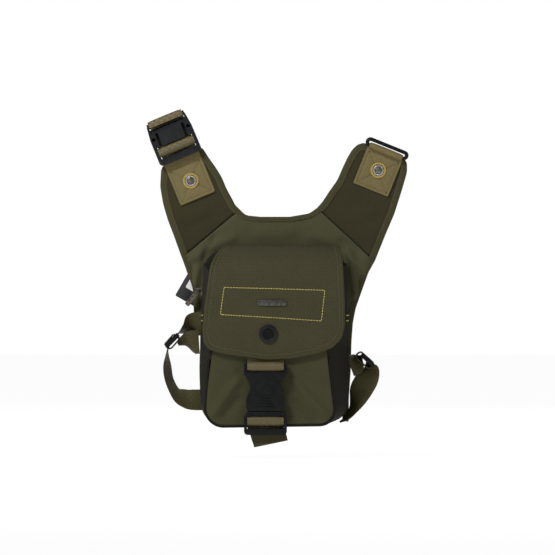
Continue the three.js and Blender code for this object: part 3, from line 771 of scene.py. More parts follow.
class HarnessPackLook(bpy.types.PropertyGroup):
    """Colours of the pack's cloth, webbing, plastic and thread."""

    flap_colour: colour_setting("Flap cloth", "Heavy nylon of the flap", "403d2b")
    panel_colour: colour_setting("Panel cloth", "Padded chest panel", "484732")
    webbing_colour: colour_setting("Tan webbing", "Shoulder tabs and closure strap", "584f33")
    buckle_colour: colour_setting("Buckles", "Moulded buckles and adjusters", "0d0e0f")
    stitch_colour: colour_setting("Contrast stitching", "Yellow box on the flap and bartacks", "c2b66a")


class HarnessPackSizes(bpy.types.PropertyGroup):
    """Sizes of the sewing and the soft shapes."""

    binding_width: FloatProperty(name="Edge binding", description="Width of the tape round the arms", default=0.0062,
                                 min=0.003, max=0.01, subtype="DISTANCE", unit="LENGTH")
    stitch_pitch: FloatProperty(name="Stitch pitch", description="Distance from stitch to stitch", default=0.003,
                                min=0.0015, max=0.006, subtype="DISTANCE", unit="LENGTH")
    fold_height: FloatProperty(name="Fold height", description="How far the cloth's soft folds stand out",
                               default=0.0016, min=0.0, max=0.004, subtype="DISTANCE", unit="LENGTH")


def look():
    return bpy.context.scene.harness_pack_look


def sizes():
    return bpy.context.scene.harness_pack_sizes


# ---------------------------------------------------------------- stage


CAMERA_AT = (0.00105, -6.035, 0.0551)
CAMERA_LENS = 370.7
LAMPS = (  # name, place, size, watts
    ("key", (-0.55, -0.8, 0.9), 0.3, 12.5), ("fill", (1.2, -1.6, 0.2), 1.0, 2.5), ("back", (0.5, 1.6, 1.2), 1.2, 8))
LAMPS_AIM = Vector((0, 0, 0.03))
SKY_SEEN, SKY_LIGHT = 1.0, 0.2
FLOOR_DROP = 0.012


class HARNESS_OT_stage(bpy.types.Operator):
    """Camera, soft studio light and a pale floor"""

    bl_idname = "harness.stage"
    bl_label = "Stage"

    def execute(self, context):
        scene = context.scene
        camera = bpy.data.objects.new("camera", bpy.data.cameras.new("camera"))
        scene.collection.objects.link(camera)
        camera.location = CAMERA_AT
        camera.rotation_euler = (math.pi / 2, 0, 0)
        camera.data.lens, camera.data.sensor_width = CAMERA_LENS, 36
        camera.data.clip_start, camera.data.clip_end = 0.1, 30
        scene.camera = camera
        scene.view_settings.view_transform = "Standard"

        world = bpy.data.worlds.new("studio")
        world.use_nodes = True
        scene.world = world
        sky = world.node_tree
        sky.nodes["Background"].inputs["Color"].default_value = (1, 1, 1, 1)
        # White paper fills the view; the light that it gives is a fifth of that.
        seen = add(sky, "ShaderNodeLightPath").outputs["Is Camera Ray"]
        strength = add(sky, "ShaderNodeMapRange", {"Value": seen}, To_Min=SKY_LIGHT, To_Max=SKY_SEEN)
        sky.links.new(strength.outputs["Result"], sky.nodes["Background"].inputs["Strength"])
        for name, place, size, power in LAMPS:
            lamp = bpy.data.objects.new(name, bpy.data.lights.new(name, "AREA"))
            lamp.data.size, lamp.data.energy = size, power
            lamp.location = place
            lamp.rotation_mode = "QUATERNION"
            lamp.rotation_quaternion = (LAMPS_AIM - Vector(place)).to_track_quat("-Z", "Y")
            scene.collection.objects.link(lamp)

        bpy.ops.object.select_all(action="DESELECT")
        bpy.ops.mesh.primitive_plane_add(size=16, location=(0, 0, CAD_BOX[0][2] - FLOOR_DROP))
        floor = context.object
        floor.name = "floor"
        floor.data.transform(floor.matrix_world)
        floor.matrix_world = Matrix.Identity(4)
        material, tree, shader = blank("matt_white_paper")
        # Seamless studio paper, lit until it is nearly white.
        shader.inputs["Base Color"].default_value = (0.2, 0.2, 0.2, 1)
        shader.inputs["Roughness"].default_value = 1.0
        shader.inputs["Specular IOR Level"].default_value = 0.0
        shader.inputs["Emission Color"].default_value = (1, 1, 1, 1)
        shader.inputs["Emission Strength"].default_value = 0.93
        floor.data.materials.append(material)
        return {"FINISHED"}


# ---------------------------------------------------------------- padded panels


BEND_LENGTH = 16


def seam_blend(body, seam, sign):
    a, b = Vector(seam[0]), Vector(seam[1])
    along = (b - a).normalized()
    out = Vector((-along.y, along.x)) * sign
    middle = (a + b) / 2
    y = PANEL_BACK * MM
    start, end = middle - out * 1.0, middle + out * BEND_LENGTH
    return ("pack_body", body, (start.x * MM, y, start.y * MM), (end.x * MM, y, end.y * MM))


class HARNESS_OT_back_pad(bpy.types.Operator):
    """Quilted air mesh pad on the wearer's side"""

    bl_idname = "harness.back_pad"
    bl_label = "Back pad"

    def execute(self, context):
        corners = [(-40, 72, 14), (42, 72, 14), (48, 30, 20), (48, -76, 16), (-50, -76, 16), (-50, 30, 20)]
        edge = rounded(corners, 2.5)

        def quilt(points, distance):
            channel = np.zeros(len(points))
            for axis, lines in ((0, (-18.0, 16.0)), (1, (38.0, -2.0, -42.0))):
                for line in lines:
                    channel = np.maximum(channel, np.exp(-(((points[:, axis] - line) / 2.6) ** 2)))
            return 2.4 * channel - 0.3

        pad = panel_slab("back_pad_mesh", edge, PAD_BACK, PAD_FRONT, 4.5, 2.4, None, quilt)
        finish(pad, "mesh_cloth", "pack_body", ["back_pad"], 60)
        tape = tape_round("back_pad_binding", rounded(corners, 2.0), 1, 4.0, PAD_BACK - 1.5, PAD_FRONT + 0.2, 1.0,
                          closed=True)
        finish(tape, "dark_tape", "pack_body")
        return {"FINISHED"}


CHEST_CORNERS = [
    (-39.5, 126), (-33, 119.6, 12), (-17, 118), (14, 118), (35, 121.6, 14), (43.5, 127.7), (102.5, 72.7),
    (96, 61, 30), (87, 36, 40), (82.5, 23, 30), (79.5, 8, 30), (78, -12, 40), (77, -45, 60), (75.2, -72, 60),
    (75, -95, 18), (-76, -97, 18), (-78.4, -62, 60), (-79.6, -35, 60), (-79.2, 12, 3), (-86, 15, 3), (-87, 44, 40),
    (-93.6, 62, 20), (-98.8, 76.5)]


FOLD_GAIN = 1.7
CHEST_FOLDS = (
    ((-92, 72), (-66, 92), 5, 1.0), ((-88, 40), (-78, 84), 3.4, 1.2), ((-84, 66), (-62, 104), 3.6, -0.9),
    ((-72, 84), (-40, 100), 5, 0.7), ((70, 84), (98, 58), 4, 1.1), ((76, 88), (84, 30), 3.6, 1.2),
    ((66, 96), (90, 78), 4.5, -0.8), ((30, 100), (66, 92), 6, 0.6), ((-26, 101), (22, 104), 8, 0.5))
STITCHES = {"pitch": 2.6, "length": 2.0, "radius": 0.3, "material": "olive_thread", "slot": "panel_fabric"}
STITCH_INSET = 1.2
TAPE_OVERLAP = 1.6


def folds_scale():
    return sizes().fold_height / MM * FOLD_GAIN


class HARNESS_OT_chest_panel(bpy.types.Operator):
    """Padded chest panel with its edge tape and topstitching"""

    bl_idname = "harness.chest_panel"
    bl_label = "Chest panel"

    def execute(self, context):
        edge = rounded(CHEST_CORNERS, 2.2)
        folds = creased((34, 0.5, 3.1), CHEST_FOLDS, folds_scale())
        panel = panel_slab("chest_panel_cloth", edge, PANEL_BACK, PANEL_FRONT, 3.0, 2.8, folds,
                           seams=(LEFT_SEAM, RIGHT_SEAM))
        finish(panel, "panel_cloth", "pack_body", ["chest_panel"], 60)
        runs = {
            "neckline_binding": (CHEST_CORNERS[:6], 4.4),
            "right_wing_binding": (CHEST_CORNERS[6:15], 5.4),
            "left_wing_binding": (CHEST_CORNERS[19:], 5.4),
            "left_side_binding": (CHEST_CORNERS[16:19], 4.0),
        }
        for name, (corners, width) in runs.items():
            path = rounded(corners, 1.8, closed=False)
            path = [path[0] + (path[0] - path[1]).normalized() * TAPE_OVERLAP, *path,
                    path[-1] + (path[-1] - path[-2]).normalized() * TAPE_OVERLAP]
            tape = tape_round(name, path, -1, width, PANEL_BACK, PANEL_FRONT)
            finish(tape, "edge_tape", "pack_body")
            inner = moved_left(path, STITCH_INSET - width)
            sewn(name.replace("binding", "stitching"), inner[1:-1], on_panel(PANEL_FRONT), **STITCHES,
                 body="pack_body", lift=0.55)
        return {"FINISHED"}


ARMS = {
    "left": (LEFT_SEAM, -1, [
        (-44.5, 131, 10), (-47.5, 137, 20), (-54, 149, 40), (-59, 161, 40), (-66, 172, 30), (-72.5, 181, 20),
        (-80, 193, 5), (-120.5, 171, 7), (-121.5, 151, 20), (-118.5, 133, 60), (-113.5, 116, 60), (-107, 99, 60)]),
    "right": (RIGHT_SEAM, 1, [
        (49.5, 134.5, 12), (57, 146, 30), (65, 157, 40), (71, 171, 30), (76, 181.5, 20), (80.5, 189, 15),
        (86, 194.3, 6), (92, 196, 4), (136.5, 178, 6), (136.5, 166, 20), (131, 147, 60), (123, 122, 60),
        (114, 101, 60)]),
}


class HARNESS_OT_shoulder_arms(bpy.types.Operator):
    """Two padded shoulder arms with wide edge tape"""

    bl_idname = "harness.shoulder_arms"
    bl_label = "Shoulder arms"

    def execute(self, context):
        width = sizes().binding_width / MM
        for side, (seam, sign, rest) in ARMS.items():
            top, low = Vector(seam[0]), Vector(seam[1])
            along = (low - top).normalized()
            out = Vector((-along.y, along.x)) * sign
            corners = [tuple(top + out * 0.35), *rest, tuple(low + out * 0.35)]
            edge = rounded(corners, 2.2)
            bend = seam_blend(f"{side}_arm", seam, sign)

            middle = -86 if sign < 0 else 92
            folds = creased((26, 0.7, 7.7 * sign), (((middle - 20, 118), (middle + 16, 126), 4, 0.8),
                                                    ((middle - 14, 106), (middle + 20, 118), 3.5, -0.7)))
            arm = panel_slab(f"{side}_arm_cloth", edge, PANEL_BACK, PANEL_FRONT + 0.3, 2.6, 2.8, folds,
                             seams=(seam,))
            finish(arm, "arm_cloth", None, [f"{side}_shoulder_arm"], 60, bend)
            under = [top + along * 2 - out * 3, top + along * 2 + out * 3, low - along * 2 + out * 3,
                     low - along * 2 - out * 3]
            strip = panel_slab(f"{side}_seam_allowance", respace(under, 2.0), PANEL_BACK - 2.0, PANEL_FRONT + 2.4, 0.8,
                               2.0)
            # The seam strip's dark gusset cloth is painted shade in the seam's groove.
            finish(strip, "shaded_gusset_cloth", None, blend=bend)
            path = rounded(corners, 1.8, closed=False)
            tape = tape_round(f"{side}_arm_binding", path, -sign, width, PANEL_BACK, PANEL_FRONT)
            finish(tape, "edge_tape", None, blend=bend)
            inner = moved_left(path, -sign * (width - STITCH_INSET))
            sewn(f"{side}_arm_stitching", inner[2:-2], on_panel(PANEL_FRONT), **STITCHES, body=None, lift=0.55,
                 blend=bend)
        return {"FINISHED"}


# ---------------------------------------------------------------- rear compartment and zip

POUCH_BACK = [(-76.5, 84, 22), (72.5, 84, 22), (75.5, -96, 20), (-77.5, -98, 20)]
ZIP_END = 16


def shrunk(corners, d):
    """The same four-cornered outline, d smaller all round."""
    return [(x - math.copysign(d, x), z - math.copysign(d, z), r - d) for x, z, r in corners]


def ring_band(name, corners, profile, keep=None):
    """A profile of (inset, y) pairs swept round an outline; keep picks the stretch that it covers."""
    path = turned_left(rounded(corners, 2.0))
    if keep:
        flags = [keep(p) for p in path]
        start = next(i for i in range(len(path)) if flags[i] and not flags[i - 1])
        path = path[start:] + path[:start]
        flags = flags[start:] + flags[:start]
        path = path[:flags.index(False) if False in flags else len(path)]
    rows = [[(p.x - along.y * d, y, p.y + along.x * d) for d, y in profile]
            for p, along in zip(path, directions(path, closed=not keep))]
    return loft(name, rows, closed=not keep)


def cloth_strip(outer, back, front, thick, swell, steps=5):
    """The cross-section of a strip of cloth, swollen outwards between two seams."""
    made = []
    for i in range(steps + 1):
        t = i / steps
        made.append((outer - swell * math.sin(math.pi * t), back + (front - back) * t))
    for i in range(steps, -1, -1):
        t = i / steps
        made.append((outer + thick - swell * math.sin(math.pi * t) * 0.8, back + (front - back) * t))
    return made


class HARNESS_OT_rear_compartment(bpy.types.Operator):
    """Gusset of the rear zipped compartment"""

    bl_idname = "harness.rear_compartment"
    bl_label = "Rear compartment"

    def execute(self, context):
        lip = 2.6
        for name, strip, keep, nodes in (
                ("rear_gusset_lip", (REAR_BACK, ZIP_Y + lip, 2.0, 0.5), None, ["rear_compartment_gusset"]),
                ("front_gusset_lip", (ZIP_Y - lip, REAR_FRONT, 2.0, 0.5), None, ()),
                ("low_gusset", (ZIP_Y + lip, ZIP_Y - lip, 2.0, 0.0, 2), lambda p: p.y < ZIP_END, ())):
            band = ring_band(name, POUCH_BACK, cloth_strip(0.3, *strip), keep)
            # The dark gusset cloth here is painted shade on the recessed compartment walls.
            finish(band, "shaded_gusset_cloth", "pack_body", nodes)
        return {"FINISHED"}


class HARNESS_OT_zip(bpy.types.Operator):
    """Zip tapes, coil, slider and pull"""

    bl_idname = "harness.zip"
    bl_label = "Zip"

    def execute(self, context):
        def above(p):
            return p.y > ZIP_END + 0.5

        for name, back, front in (("rear", ZIP_Y + 2.35, ZIP_Y + 0.9), ("front", ZIP_Y - 0.9, ZIP_Y - 2.35)):
            tape = ring_band(f"{name}_zip_tape", POUCH_BACK, cloth_strip(0.9, back, front, 0.8, 0.0, 2), above)
            finish(tape, "dark_tape", "pack_body", [f"zip_tape_{name}"])
        underlay = ring_band("zip_underlay", POUCH_BACK, cloth_strip(2.4, ZIP_Y + 1.7, ZIP_Y - 1.7, 0.4, 0.0, 2),
                             above)
        finish(underlay, "dark_tape", "pack_body")
        path = turned_left(rounded(shrunk(POUCH_BACK, 0.9), 1.3))
        places = []
        for p, along in zip(path, directions(path, closed=True)):
            if p.y < ZIP_END + 1:
                continue
            ahead = Vector((along.x, 0, along.y))
            for sign in (1, -1):
                middle = Vector((p.x, ZIP_Y + sign * 0.32, p.y)) + ahead * 0.32 * sign
                places.append(standing(middle, Vector((0, 1, 0)), ahead, Vector((along.y, 0, -along.x))))
        coil = scattered("zip_teeth", stitch_shape(1.25, 0.42), places)
        finish(coil, "nylon_coil", "pack_body", ["zip_coil"])
        moulding("zip_slider", "zip_slider_body", "zip_metal", "slider", 0.35)
        moulding("zip_pull", "zip_pull_tab", "zip_metal", "pull_tab", 0.3)
        return {"FINISHED"}


# ---------------------------------------------------------------- main pouch


FRONT_FOLDS = (
    ((-70, -92), (-36, -46), 4.5, 1.3), ((-58, -94), (-36, -68), 4, -1.0), ((14, -48), (56, -92), 4.5, 1.2),
    ((14, -70), (44, -95), 4, -0.9), ((-68, -38), (-40, -44), 5, 0.8), ((20, -40), (52, -52), 5, 0.7))


# How far the gusset swells, creases and sags at the lower left as seen from the front, and its cloth's thickness.
SWELL, CREASE, LOW_LEFT, CLOTH = 1.1, 0.7, 3.6, 1.8
GUSSET_ROWS = 170
BARTACKS = (((75.6, -39.0), (73.2, -42.2)), ((-78.7, -38.8), (-76.5, -41.9)))
BARTACK_HEIGHTS = (15.5, 9.8)


class HARNESS_OT_pouch(bpy.types.Operator):
    """Main pouch: rear wall, sagging gusset, front panel and piping"""

    bl_idname = "harness.pouch"
    bl_label = "Main pouch"

    def execute(self, context):
        wall = panel_slab("pouch_rear_wall", rounded(shrunk(POUCH_BACK, 0.2), 2.6), WALL_BACK, WALL_FRONT, 1.6,
                          6.0)
        # The rear wall's dark gusset cloth is painted shade behind the pouch.
        finish(wall, "shaded_gusset_cloth", "pack_body", ["pouch_back_wall"])

        back = rounded([(-76.9, 70), (-77.5, -98, 20), (75.5, -96, 20), (74.2, 70)], 2.4, closed=False)
        front = rounded([(-62.9, 50), (-74.5, -99.5, 18), (61.5, -97.5, 15), (47.4, 50)], 2.4, closed=False)
        back = respace(back, closed=False, count=GUSSET_ROWS)
        front = respace(front, closed=False, count=GUSSET_ROWS)
        across = 12
        rows = []
        for a, b, along in zip(back, front, directions(back)):
            out = Vector((along.y, -along.x))
            outer, inner = [], []
            for k in range(across + 1):
                t = k / across
                p = a.lerp(b, t)
                side = 1 if p.x > 0 else -1
                swell = SWELL * math.sin(math.pi * t)
                crease = CREASE * math.sin(math.pi * t) * math.sin(p.y / 13 + 2.0 * t * side)
                crease *= min(1, (p.y + 104) / 30)
                y = GUSSET_BACK + (GUSSET_FRONT - GUSSET_BACK) * t
                low_left = LOW_LEFT * math.exp(-(((p.y + 40) / 50) ** 2)) if side < 0 else 0.0
                bulge = swell + crease + low_left * math.cos(0.5 * math.pi * t)
                outer.append((p.x + out.x * bulge, y, p.y + out.y * bulge))
                inner.append((p.x + out.x * (bulge - CLOTH), y, p.y + out.y * (bulge - CLOTH)))
            rows.append(outer + inner[::-1])
        gusset = loft("pouch_side_gusset", rows)
        # The side gusset's dark cloth is painted shade on its sideways-facing walls.
        finish(gusset, "shaded_gusset_cloth", "pack_body", ["pouch_gusset"], 60)

        front_edge = rounded([(-60, 50), (44, 50), (53, -26, 60), (61.5, -97.5, 15), (-74.5, -99.5, 18),
                              (-72.4, -62, 60), (-66.8, -22, 60)], 2.2)
        tension = creased((30, 0.5, 12.3), FRONT_FOLDS, folds_scale())
        face = panel_slab("pouch_front", front_edge, FRONT_BACK, FRONT_FRONT, 1.8, 2.8, tension)
        finish(face, "pouch_cloth", "pack_body", ["pouch_front_panel"], 60)
        y = (GUSSET_FRONT + FRONT_FRONT) / 2
        path = rounded([(-70.6, -30), (-75.9, -100.7, 19.2), (62.9, -98.7, 16.2), (55.6, -30)], 2.0, closed=False)
        piping = tube("pouch_edge_piping", [Vector((p.x, y, p.y)) for p in path], 1.5)
        finish(piping, "dark_tape", "pack_body", ["pouch_piping"])
        self.bartacks()
        return {"FINISHED"}

    def bartacks(self):
        """Short dense bars of yellow thread across the gusset's back seams."""
        count = 9
        places = []
        for (ax, ay), (bx, by) in BARTACKS:
            for z in BARTACK_HEIGHTS:
                along, side = Vector((bx - ax, by - ay, 0)).normalized(), Vector((0, 0, 1))
                for k in range(count):
                    t = k / (count - 1)
                    middle = Vector((ax + (bx - ax) * t, ay + (by - ay) * t, z + 0.18 * (-1) ** k))
                    places.append(standing(middle, along, side, along.cross(side)))
        bar = scattered("gusset_bartacks", stitch_shape(1.2, 0.4), places)
        finish(bar, "yellow_thread", "pack_body")


# ---------------------------------------------------------------- flap

FLAP_START = -40.0
FLAP_BEND_Z = 60
FLAP_TOP_Z = 87
FLAP_BEND_Y = -38
HINGE_Y = -34.5


def flap_line():
    """The flap's middle line (y, z) with its length counted up from its lower edge; z equals length below the bend."""
    middle = FLAP_OUTER + FLAP_THICK / 2
    reach = FLAP_BEND_Y - middle
    points = [Vector((middle, FLAP_START)), Vector((middle, FLAP_BEND_Z))]
    for i in range(1, 25):
        turn = i / 24 * math.pi / 2
        points.append(Vector((FLAP_BEND_Y - reach * math.cos(turn),
                              FLAP_BEND_Z + (FLAP_TOP_Z - FLAP_BEND_Z) * math.sin(turn))))
    points.append(Vector((HINGE_Y, FLAP_TOP_Z)))
    return points, running_lengths(points, FLAP_START)


FLAP_POINTS, FLAP_LENGTHS = flap_line()
FLAP_END = FLAP_LENGTHS[-1]


def on_flap(u, v, h):
    """Places (x, length along the flap, height off its middle) in the pack's frame."""
    v = max(FLAP_START, min(FLAP_END, v))
    k = 0
    while k < len(FLAP_LENGTHS) - 2 and FLAP_LENGTHS[k + 1] < v:
        k += 1
    t = (v - FLAP_LENGTHS[k]) / (FLAP_LENGTHS[k + 1] - FLAP_LENGTHS[k])
    here = FLAP_POINTS[k].lerp(FLAP_POINTS[k + 1], t)

    def slope(i):
        a, b = FLAP_POINTS[max(i - 1, 0)], FLAP_POINTS[min(i + 1, len(FLAP_POINTS) - 1)]
        return (b - a).normalized()

    along = slope(k).lerp(slope(k + 1), t).normalized()
    return (u, here.x - along.y * h, here.y + along.x * h)


def along_flap(corners):
    """Corners given by their height z, turned into lengths along the flap."""
    made = []
    for x, z, *radius in corners:
        k = next((i for i, p in enumerate(FLAP_POINTS) if p.y >= z), None)
        if z <= FLAP_BEND_Z:
            v = z
        elif k is None:
            v = FLAP_END
        else:
            a, b = FLAP_POINTS[k - 1], FLAP_POINTS[k]
            v = FLAP_LENGTHS[k - 1] + (FLAP_LENGTHS[k] - FLAP_LENGTHS[k - 1]) * (z - a.y) / (b.y - a.y)
        made.append((x, v, *radius))
    return made


FLAP_CORNERS = along_flap([
    (-55, 96), (-56.5, 85, 8), (-63, 78, 8), (-68.6, 67, 20), (-71.4, 45, 40), (-75.4, 15, 40), (-76.6, 0, 20),
    (-75.6, -12, 8), (-70, -19.5, 8), (-59, -23.2, 20), (-35, -27.4, 60), (-10.5, -31, 40), (12, -29.6, 40),
    (42, -24, 40), (58, -17.5, 12), (67.5, -8, 12), (70.8, 6, 15), (70.5, 30, 60), (68.6, 70, 8), (67.2, 79, 5),
    (65, 86, 3), (64.5, 96)])
FLAP_TAPE_REACH, FLAP_TAPE_HALF, FLAP_STITCH_INSET = 1.9, 2.05, 4.8
STITCH_BOX = [(-54.6, 44.8), (-1.8, 43.4), (50.4, 41.8), (46.9, 9.8), (-6.2, 13.4), (-58.6, 16.4)]


class HARNESS_OT_flap(bpy.types.Operator):
    """Front flap with its bound edge, contrast stitching, badge and port"""

    bl_idname = "harness.flap"
    bl_label = "Front flap"

    def execute(self, context):
        edge = rounded(FLAP_CORNERS, 2.2)
        half = FLAP_THICK / 2

        swell = creased((30, 0.35, 5.5), (
            ((-70, -10), (-40, -22), 5, 0.3), ((40, -20), (66, -8), 5, 0.3), ((-66, 66), (-50, 86), 5, -0.5),
            ((50, 86), (66, 66), 5, -0.5), ((-40, 66), (36, 64), 7, 0.3)))
        sheet = slab("flap_cloth", edge, on_flap, domed(half, 0.5, 2.0, swell), domed(-half, 0.5, 2.0), 2.6, 2.0)
        finish(sheet, "basket_nylon", "front_flap", ["flap"], 60)
        path = rounded(FLAP_CORNERS, 1.8, closed=False)
        rows, inner = [], []
        for p, along in zip(path, directions(path)):
            out = Vector((along.y, -along.x))
            if (p + out).length < p.length:
                out = -out
            ring = []
            for k in range(12):
                turn = 2 * math.pi * k / 12
                d = p + out * (math.cos(turn) * FLAP_TAPE_REACH - 1.1)
                ring.append(on_flap(d.x, d.y, math.sin(turn) * FLAP_TAPE_HALF))
            rows.append(ring)
            inner.append(p - out * FLAP_STITCH_INSET)
        binding = loft("flap_edge_binding", rows)
        finish(binding, "edge_tape", "front_flap")
        sewn("flap_edge_stitching", inner[6:-6], on_flap, 2.8, 2.1, 0.28, "olive_thread", "pack_fabric", "front_flap",
             half + 0.1)
        sewn("flap_box_stitching", STITCH_BOX + STITCH_BOX[:1], on_flap, sizes().stitch_pitch / MM, 2.55, 0.46,
             "yellow_thread", "pack_fabric", "front_flap", half + 0.3)
        moulding("flap_badge", "flap_badge_bar", "badge_metal", "front_flap", 0.35)
        moulding("flap_port_ring", "cable_port_ring", "acetal_plate", "front_flap", 0.35, 3)
        self.port()
        return {"FINISHED"}

    def port(self):
        """Crossed threads of the gauze over the port."""
        low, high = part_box("flap_port_mesh")
        centre = (low + high) / 2 / MM
        radius = (high.x - low.x) / 2 / MM - 0.1
        bpy.ops.object.select_all(action="DESELECT")
        bpy.ops.mesh.primitive_cylinder_add(vertices=32, radius=radius, depth=0.3, location=(0, 0, 0))
        disc = bpy.context.object
        disc.name = "port_gauze_back"
        disc.data.transform(Matrix.Scale(MM, 4) @ Matrix.Translation(centre + Vector((0, 0.2, 0)))
                            @ Matrix.Rotation(math.pi / 2, 4, "X"))
        finish(disc, "port_cloth", "front_flap", ["flap_port_mesh"])
        places = []
        for turn in (math.pi / 4, -math.pi / 4):
            for off in np.arange(-4.5, 4.6, 1.5):
                reach = math.sqrt(max(radius ** 2 - off ** 2, 0.1))
                lay = Matrix.Translation(centre + Vector((0, -0.12, 0))) @ Matrix.Rotation(turn, 4, "Y")
                places.append(lay @ Matrix.Translation((0, 0, off)) @ Matrix.Diagonal((2 * reach, 1, 1, 1)))
        gauze = scattered("port_gauze_threads", stitch_shape(1.0, 0.3), places)
        finish(gauze, "dark_tape", "front_flap")


# ---------------------------------------------------------------- buckles and straps


def wrap(name, x0, x1, y, z, radius, tail=None):
    """Webbing rolled round a bar along X; tail adds a strip that leads to the roll, as (y, z) points."""
    thick, turns, middle = 1.5, 30, (x0 + x1) / 2
    reach = radius - thick / 2
    line = []
    for i in range(turns + 1):
        turn = math.pi / 2 - 2 * math.pi * i / turns
        line.append(Vector((y + reach * math.sin(turn), z + reach * math.cos(turn))))
    if tail:
        line = [Vector(p) for p in tail] + line[2:-3]
        return strap(name, [(middle, p.x, p.y, 1, 0, 0) for p in line], x1 - x0, thick, 64)
    rows = []
    for p in line[:-1]:
        out = (p - Vector((y, z))).normalized()
        rows.append([(middle + a, p.x + out.x * b, p.y + out.y * b) for a, b in band_profile(x1 - x0, thick)])
    return loft(name, rows, closed=True)


def lean_over(obj, turn):
    """Turns a millimetre-built mesh with a matrix in millimetres."""
    obj.data.transform(Matrix.Scale(MM, 4) @ turn @ Matrix.Scale(1 / MM, 4))


class HARNESS_OT_front_buckle(bpy.types.Operator):
    """Front side-release buckle"""

    bl_idname = "harness.front_buckle"
    bl_label = "Front buckle"

    def execute(self, context):
        moulding("front_buckle_female", "buckle_socket", "acetal", "front_flap", 0.45)
        moulding("front_buckle_male", "buckle_plug_frame", "acetal", "buckle_plug", 0.5)
        for side in ("left", "right"):
            moulding(f"front_buckle_prong_{side}", f"buckle_prong_{side}", "acetal",
                     f"prong_{side}", 0.4)
        return {"FINISHED"}


class HARNESS_OT_closure_straps(bpy.types.Operator):
    """Webbing of the front closure"""

    bl_idname = "harness.closure_straps"
    bl_label = "Closure straps"

    def execute(self, context):
        x0, x1 = BUCKLE_X - WEB_WIDE / 2, BUCKLE_X + WEB_WIDE / 2
        middle = layer("flap_strap")[0] - 0.65
        upper = wrap("flap_strap_webbing", x0, x1, ROLL_Y, FEMALE_BAR_Z, 5,
                     [(middle, -8), (middle, -20), (middle, -30), (middle - 0.6, -34.4)])
        finish(upper, "tan_webbing", "front_flap", ["flap_strap"], 60)
        lower = wrap("closure_strap_webbing", x0, x1, ROLL_Y, MALE_BAR_Z, 5)
        finish(lower, "tan_webbing", "buckle_plug", ["closure_strap_roll"], 60)
        y = ROLL_Y
        tail = strap("closure_strap_tail_webbing", [
            (BUCKLE_X + 1, y + 4.6, -102.4, 1, 0, 0.02), (BUCKLE_X + 2.5, y + 4.65, -108, 1, 0, 0.1),
            (BUCKLE_X + 4.6, y + 4.3, -114, 1, 0, 0.17), (BUCKLE_X + 5.6, y + 3.6, -118.5, 1, 0, 0.18)], 36, 1.6, 24)
        # The tail's webbing is the tan webbing darkened as painted shade.
        finish(tail, "tail_webbing", "buckle_plug", ["closure_strap_tail"], 60)
        back, front = layer("closure_strap_anchor")
        anchor = strap("closure_anchor_webbing", [
            (BUCKLE_X, back, -105.4, 1, 0, 0), (BUCKLE_X, (back + front) / 2, -105.4, 1, 0, 0),
            (BUCKLE_X, front + 2.6, -105.2, 1, 0, 0), (BUCKLE_X, front + 0.8, -103.6, 1, 0, 0),
            (BUCKLE_X, front + 0.65, -100.4, 1, 0, 0)], WEB_WIDE - 0.5, 1.2, 24)
        finish(anchor, "tan_webbing", "pack_body", ["closure_strap_anchor"], 60)
        return {"FINISHED"}


def sewn_tab(side, place_at, z0, z1, body):
    """A shoulder's webbing tab, sewn down in a box with a cross; rivet adds its eyelet and snap stud."""
    half = 19.8
    corners = [(-half, z0 + 0.3, 1), (half, z0 + 0.3, 1), (half, z1, 1), (-half, z1, 1)]
    side_x, low, high = half - 3, z0 + 3.4, min(z1 - 3, z0 + 38)
    box = [(-side_x, low), (side_x, low), (side_x, high), (-side_x, high)]
    lines = [(box[i], box[j]) for i, j in ((0, 1), (1, 2), (2, 3), (3, 0), (0, 2), (1, 3))]

    def sunk(points, distance):
        made = ripples(points, 14, 0.25, 2.0)
        deep = np.zeros(len(points))
        for a, b in lines:
            off = edge_distance(points, [Vector(a), Vector(b)], closed=False)
            deep = np.maximum(deep, np.exp(-((off / 1.5) ** 2)))
        return made - 0.55 * deep + 0.25

    thick = abs(TAB_FRONT - TAB_BACK)
    middle = (TAB_FRONT + TAB_BACK) / 2
    place = place_at(middle)
    tab = slab(f"{side}_tab_webbing", rounded(corners, 1.6), place, domed(thick / 2, 0.4, 1.4, sunk),
               domed(-thick / 2, 0.4, 1.4), 1.5, 1.4)
    outward(tab)
    finish(tab, "tab_webbing", body, [f"{side}_tab"], 60)
    for k, (a, b) in enumerate(lines):
        sewn(f"{side}_tab_stitching_{k}", [a, b], place, 2.4, 1.9, 0.26, "tan_thread", "tan_webbing", body,
             thick / 2 - 0.25)
    return place


EYELET_STITCHES, EYELET_RADIUS = 44, 7.25
BEADS, BEAD_RADIUS = 18, 4.8


def rivet(side, place, z, body):
    """Embroidered eyelet, beaded snap ring and stud."""
    front = layer(f"{side}_eyelet")[0]
    centre = Vector(place(0, z, 0))
    places = []
    for k in range(EYELET_STITCHES):
        turn = 2 * math.pi * k / EYELET_STITCHES
        out = Vector((math.cos(turn), 0, math.sin(turn)))
        around = Vector((-math.sin(turn), 0, math.cos(turn)))
        middle = Vector((centre.x, front - 0.45, centre.z)) + out * EYELET_RADIUS
        places.append(standing(middle, out, around, Vector((0, -1, 0))))
    eyelet = scattered(f"{side}_eyelet_thread", stitch_shape(2.5, 0.62), places)
    finish(eyelet, "eyelet_thread", body, [f"{side}_eyelet"])
    moulding(f"{side}_snap_ring", f"{side}_snap_ring_body", "snap_metal", body, 0.3, 3)
    beads = []
    for k in range(BEADS):
        turn = 2 * math.pi * k / BEADS
        beads.append(Matrix.Translation((centre.x + BEAD_RADIUS * math.cos(turn), layer(f"{side}_snap_ring")[1] - 0.1,
                                         centre.z + BEAD_RADIUS * math.sin(turn))))
    finish(scattered(f"{side}_snap_ring_beads", stitch_shape(0.9, 0.45), beads), "snap_metal", body)
    moulding(f"{side}_snap_stud", f"{side}_snap_stud_body", "stud_metal", body, 0.5, 3)


LEFT_SHOULDER = ((-109.5, 203.5), -22.5)
RIGHT_SHOULDER = ((116.4, 190.6), 22)


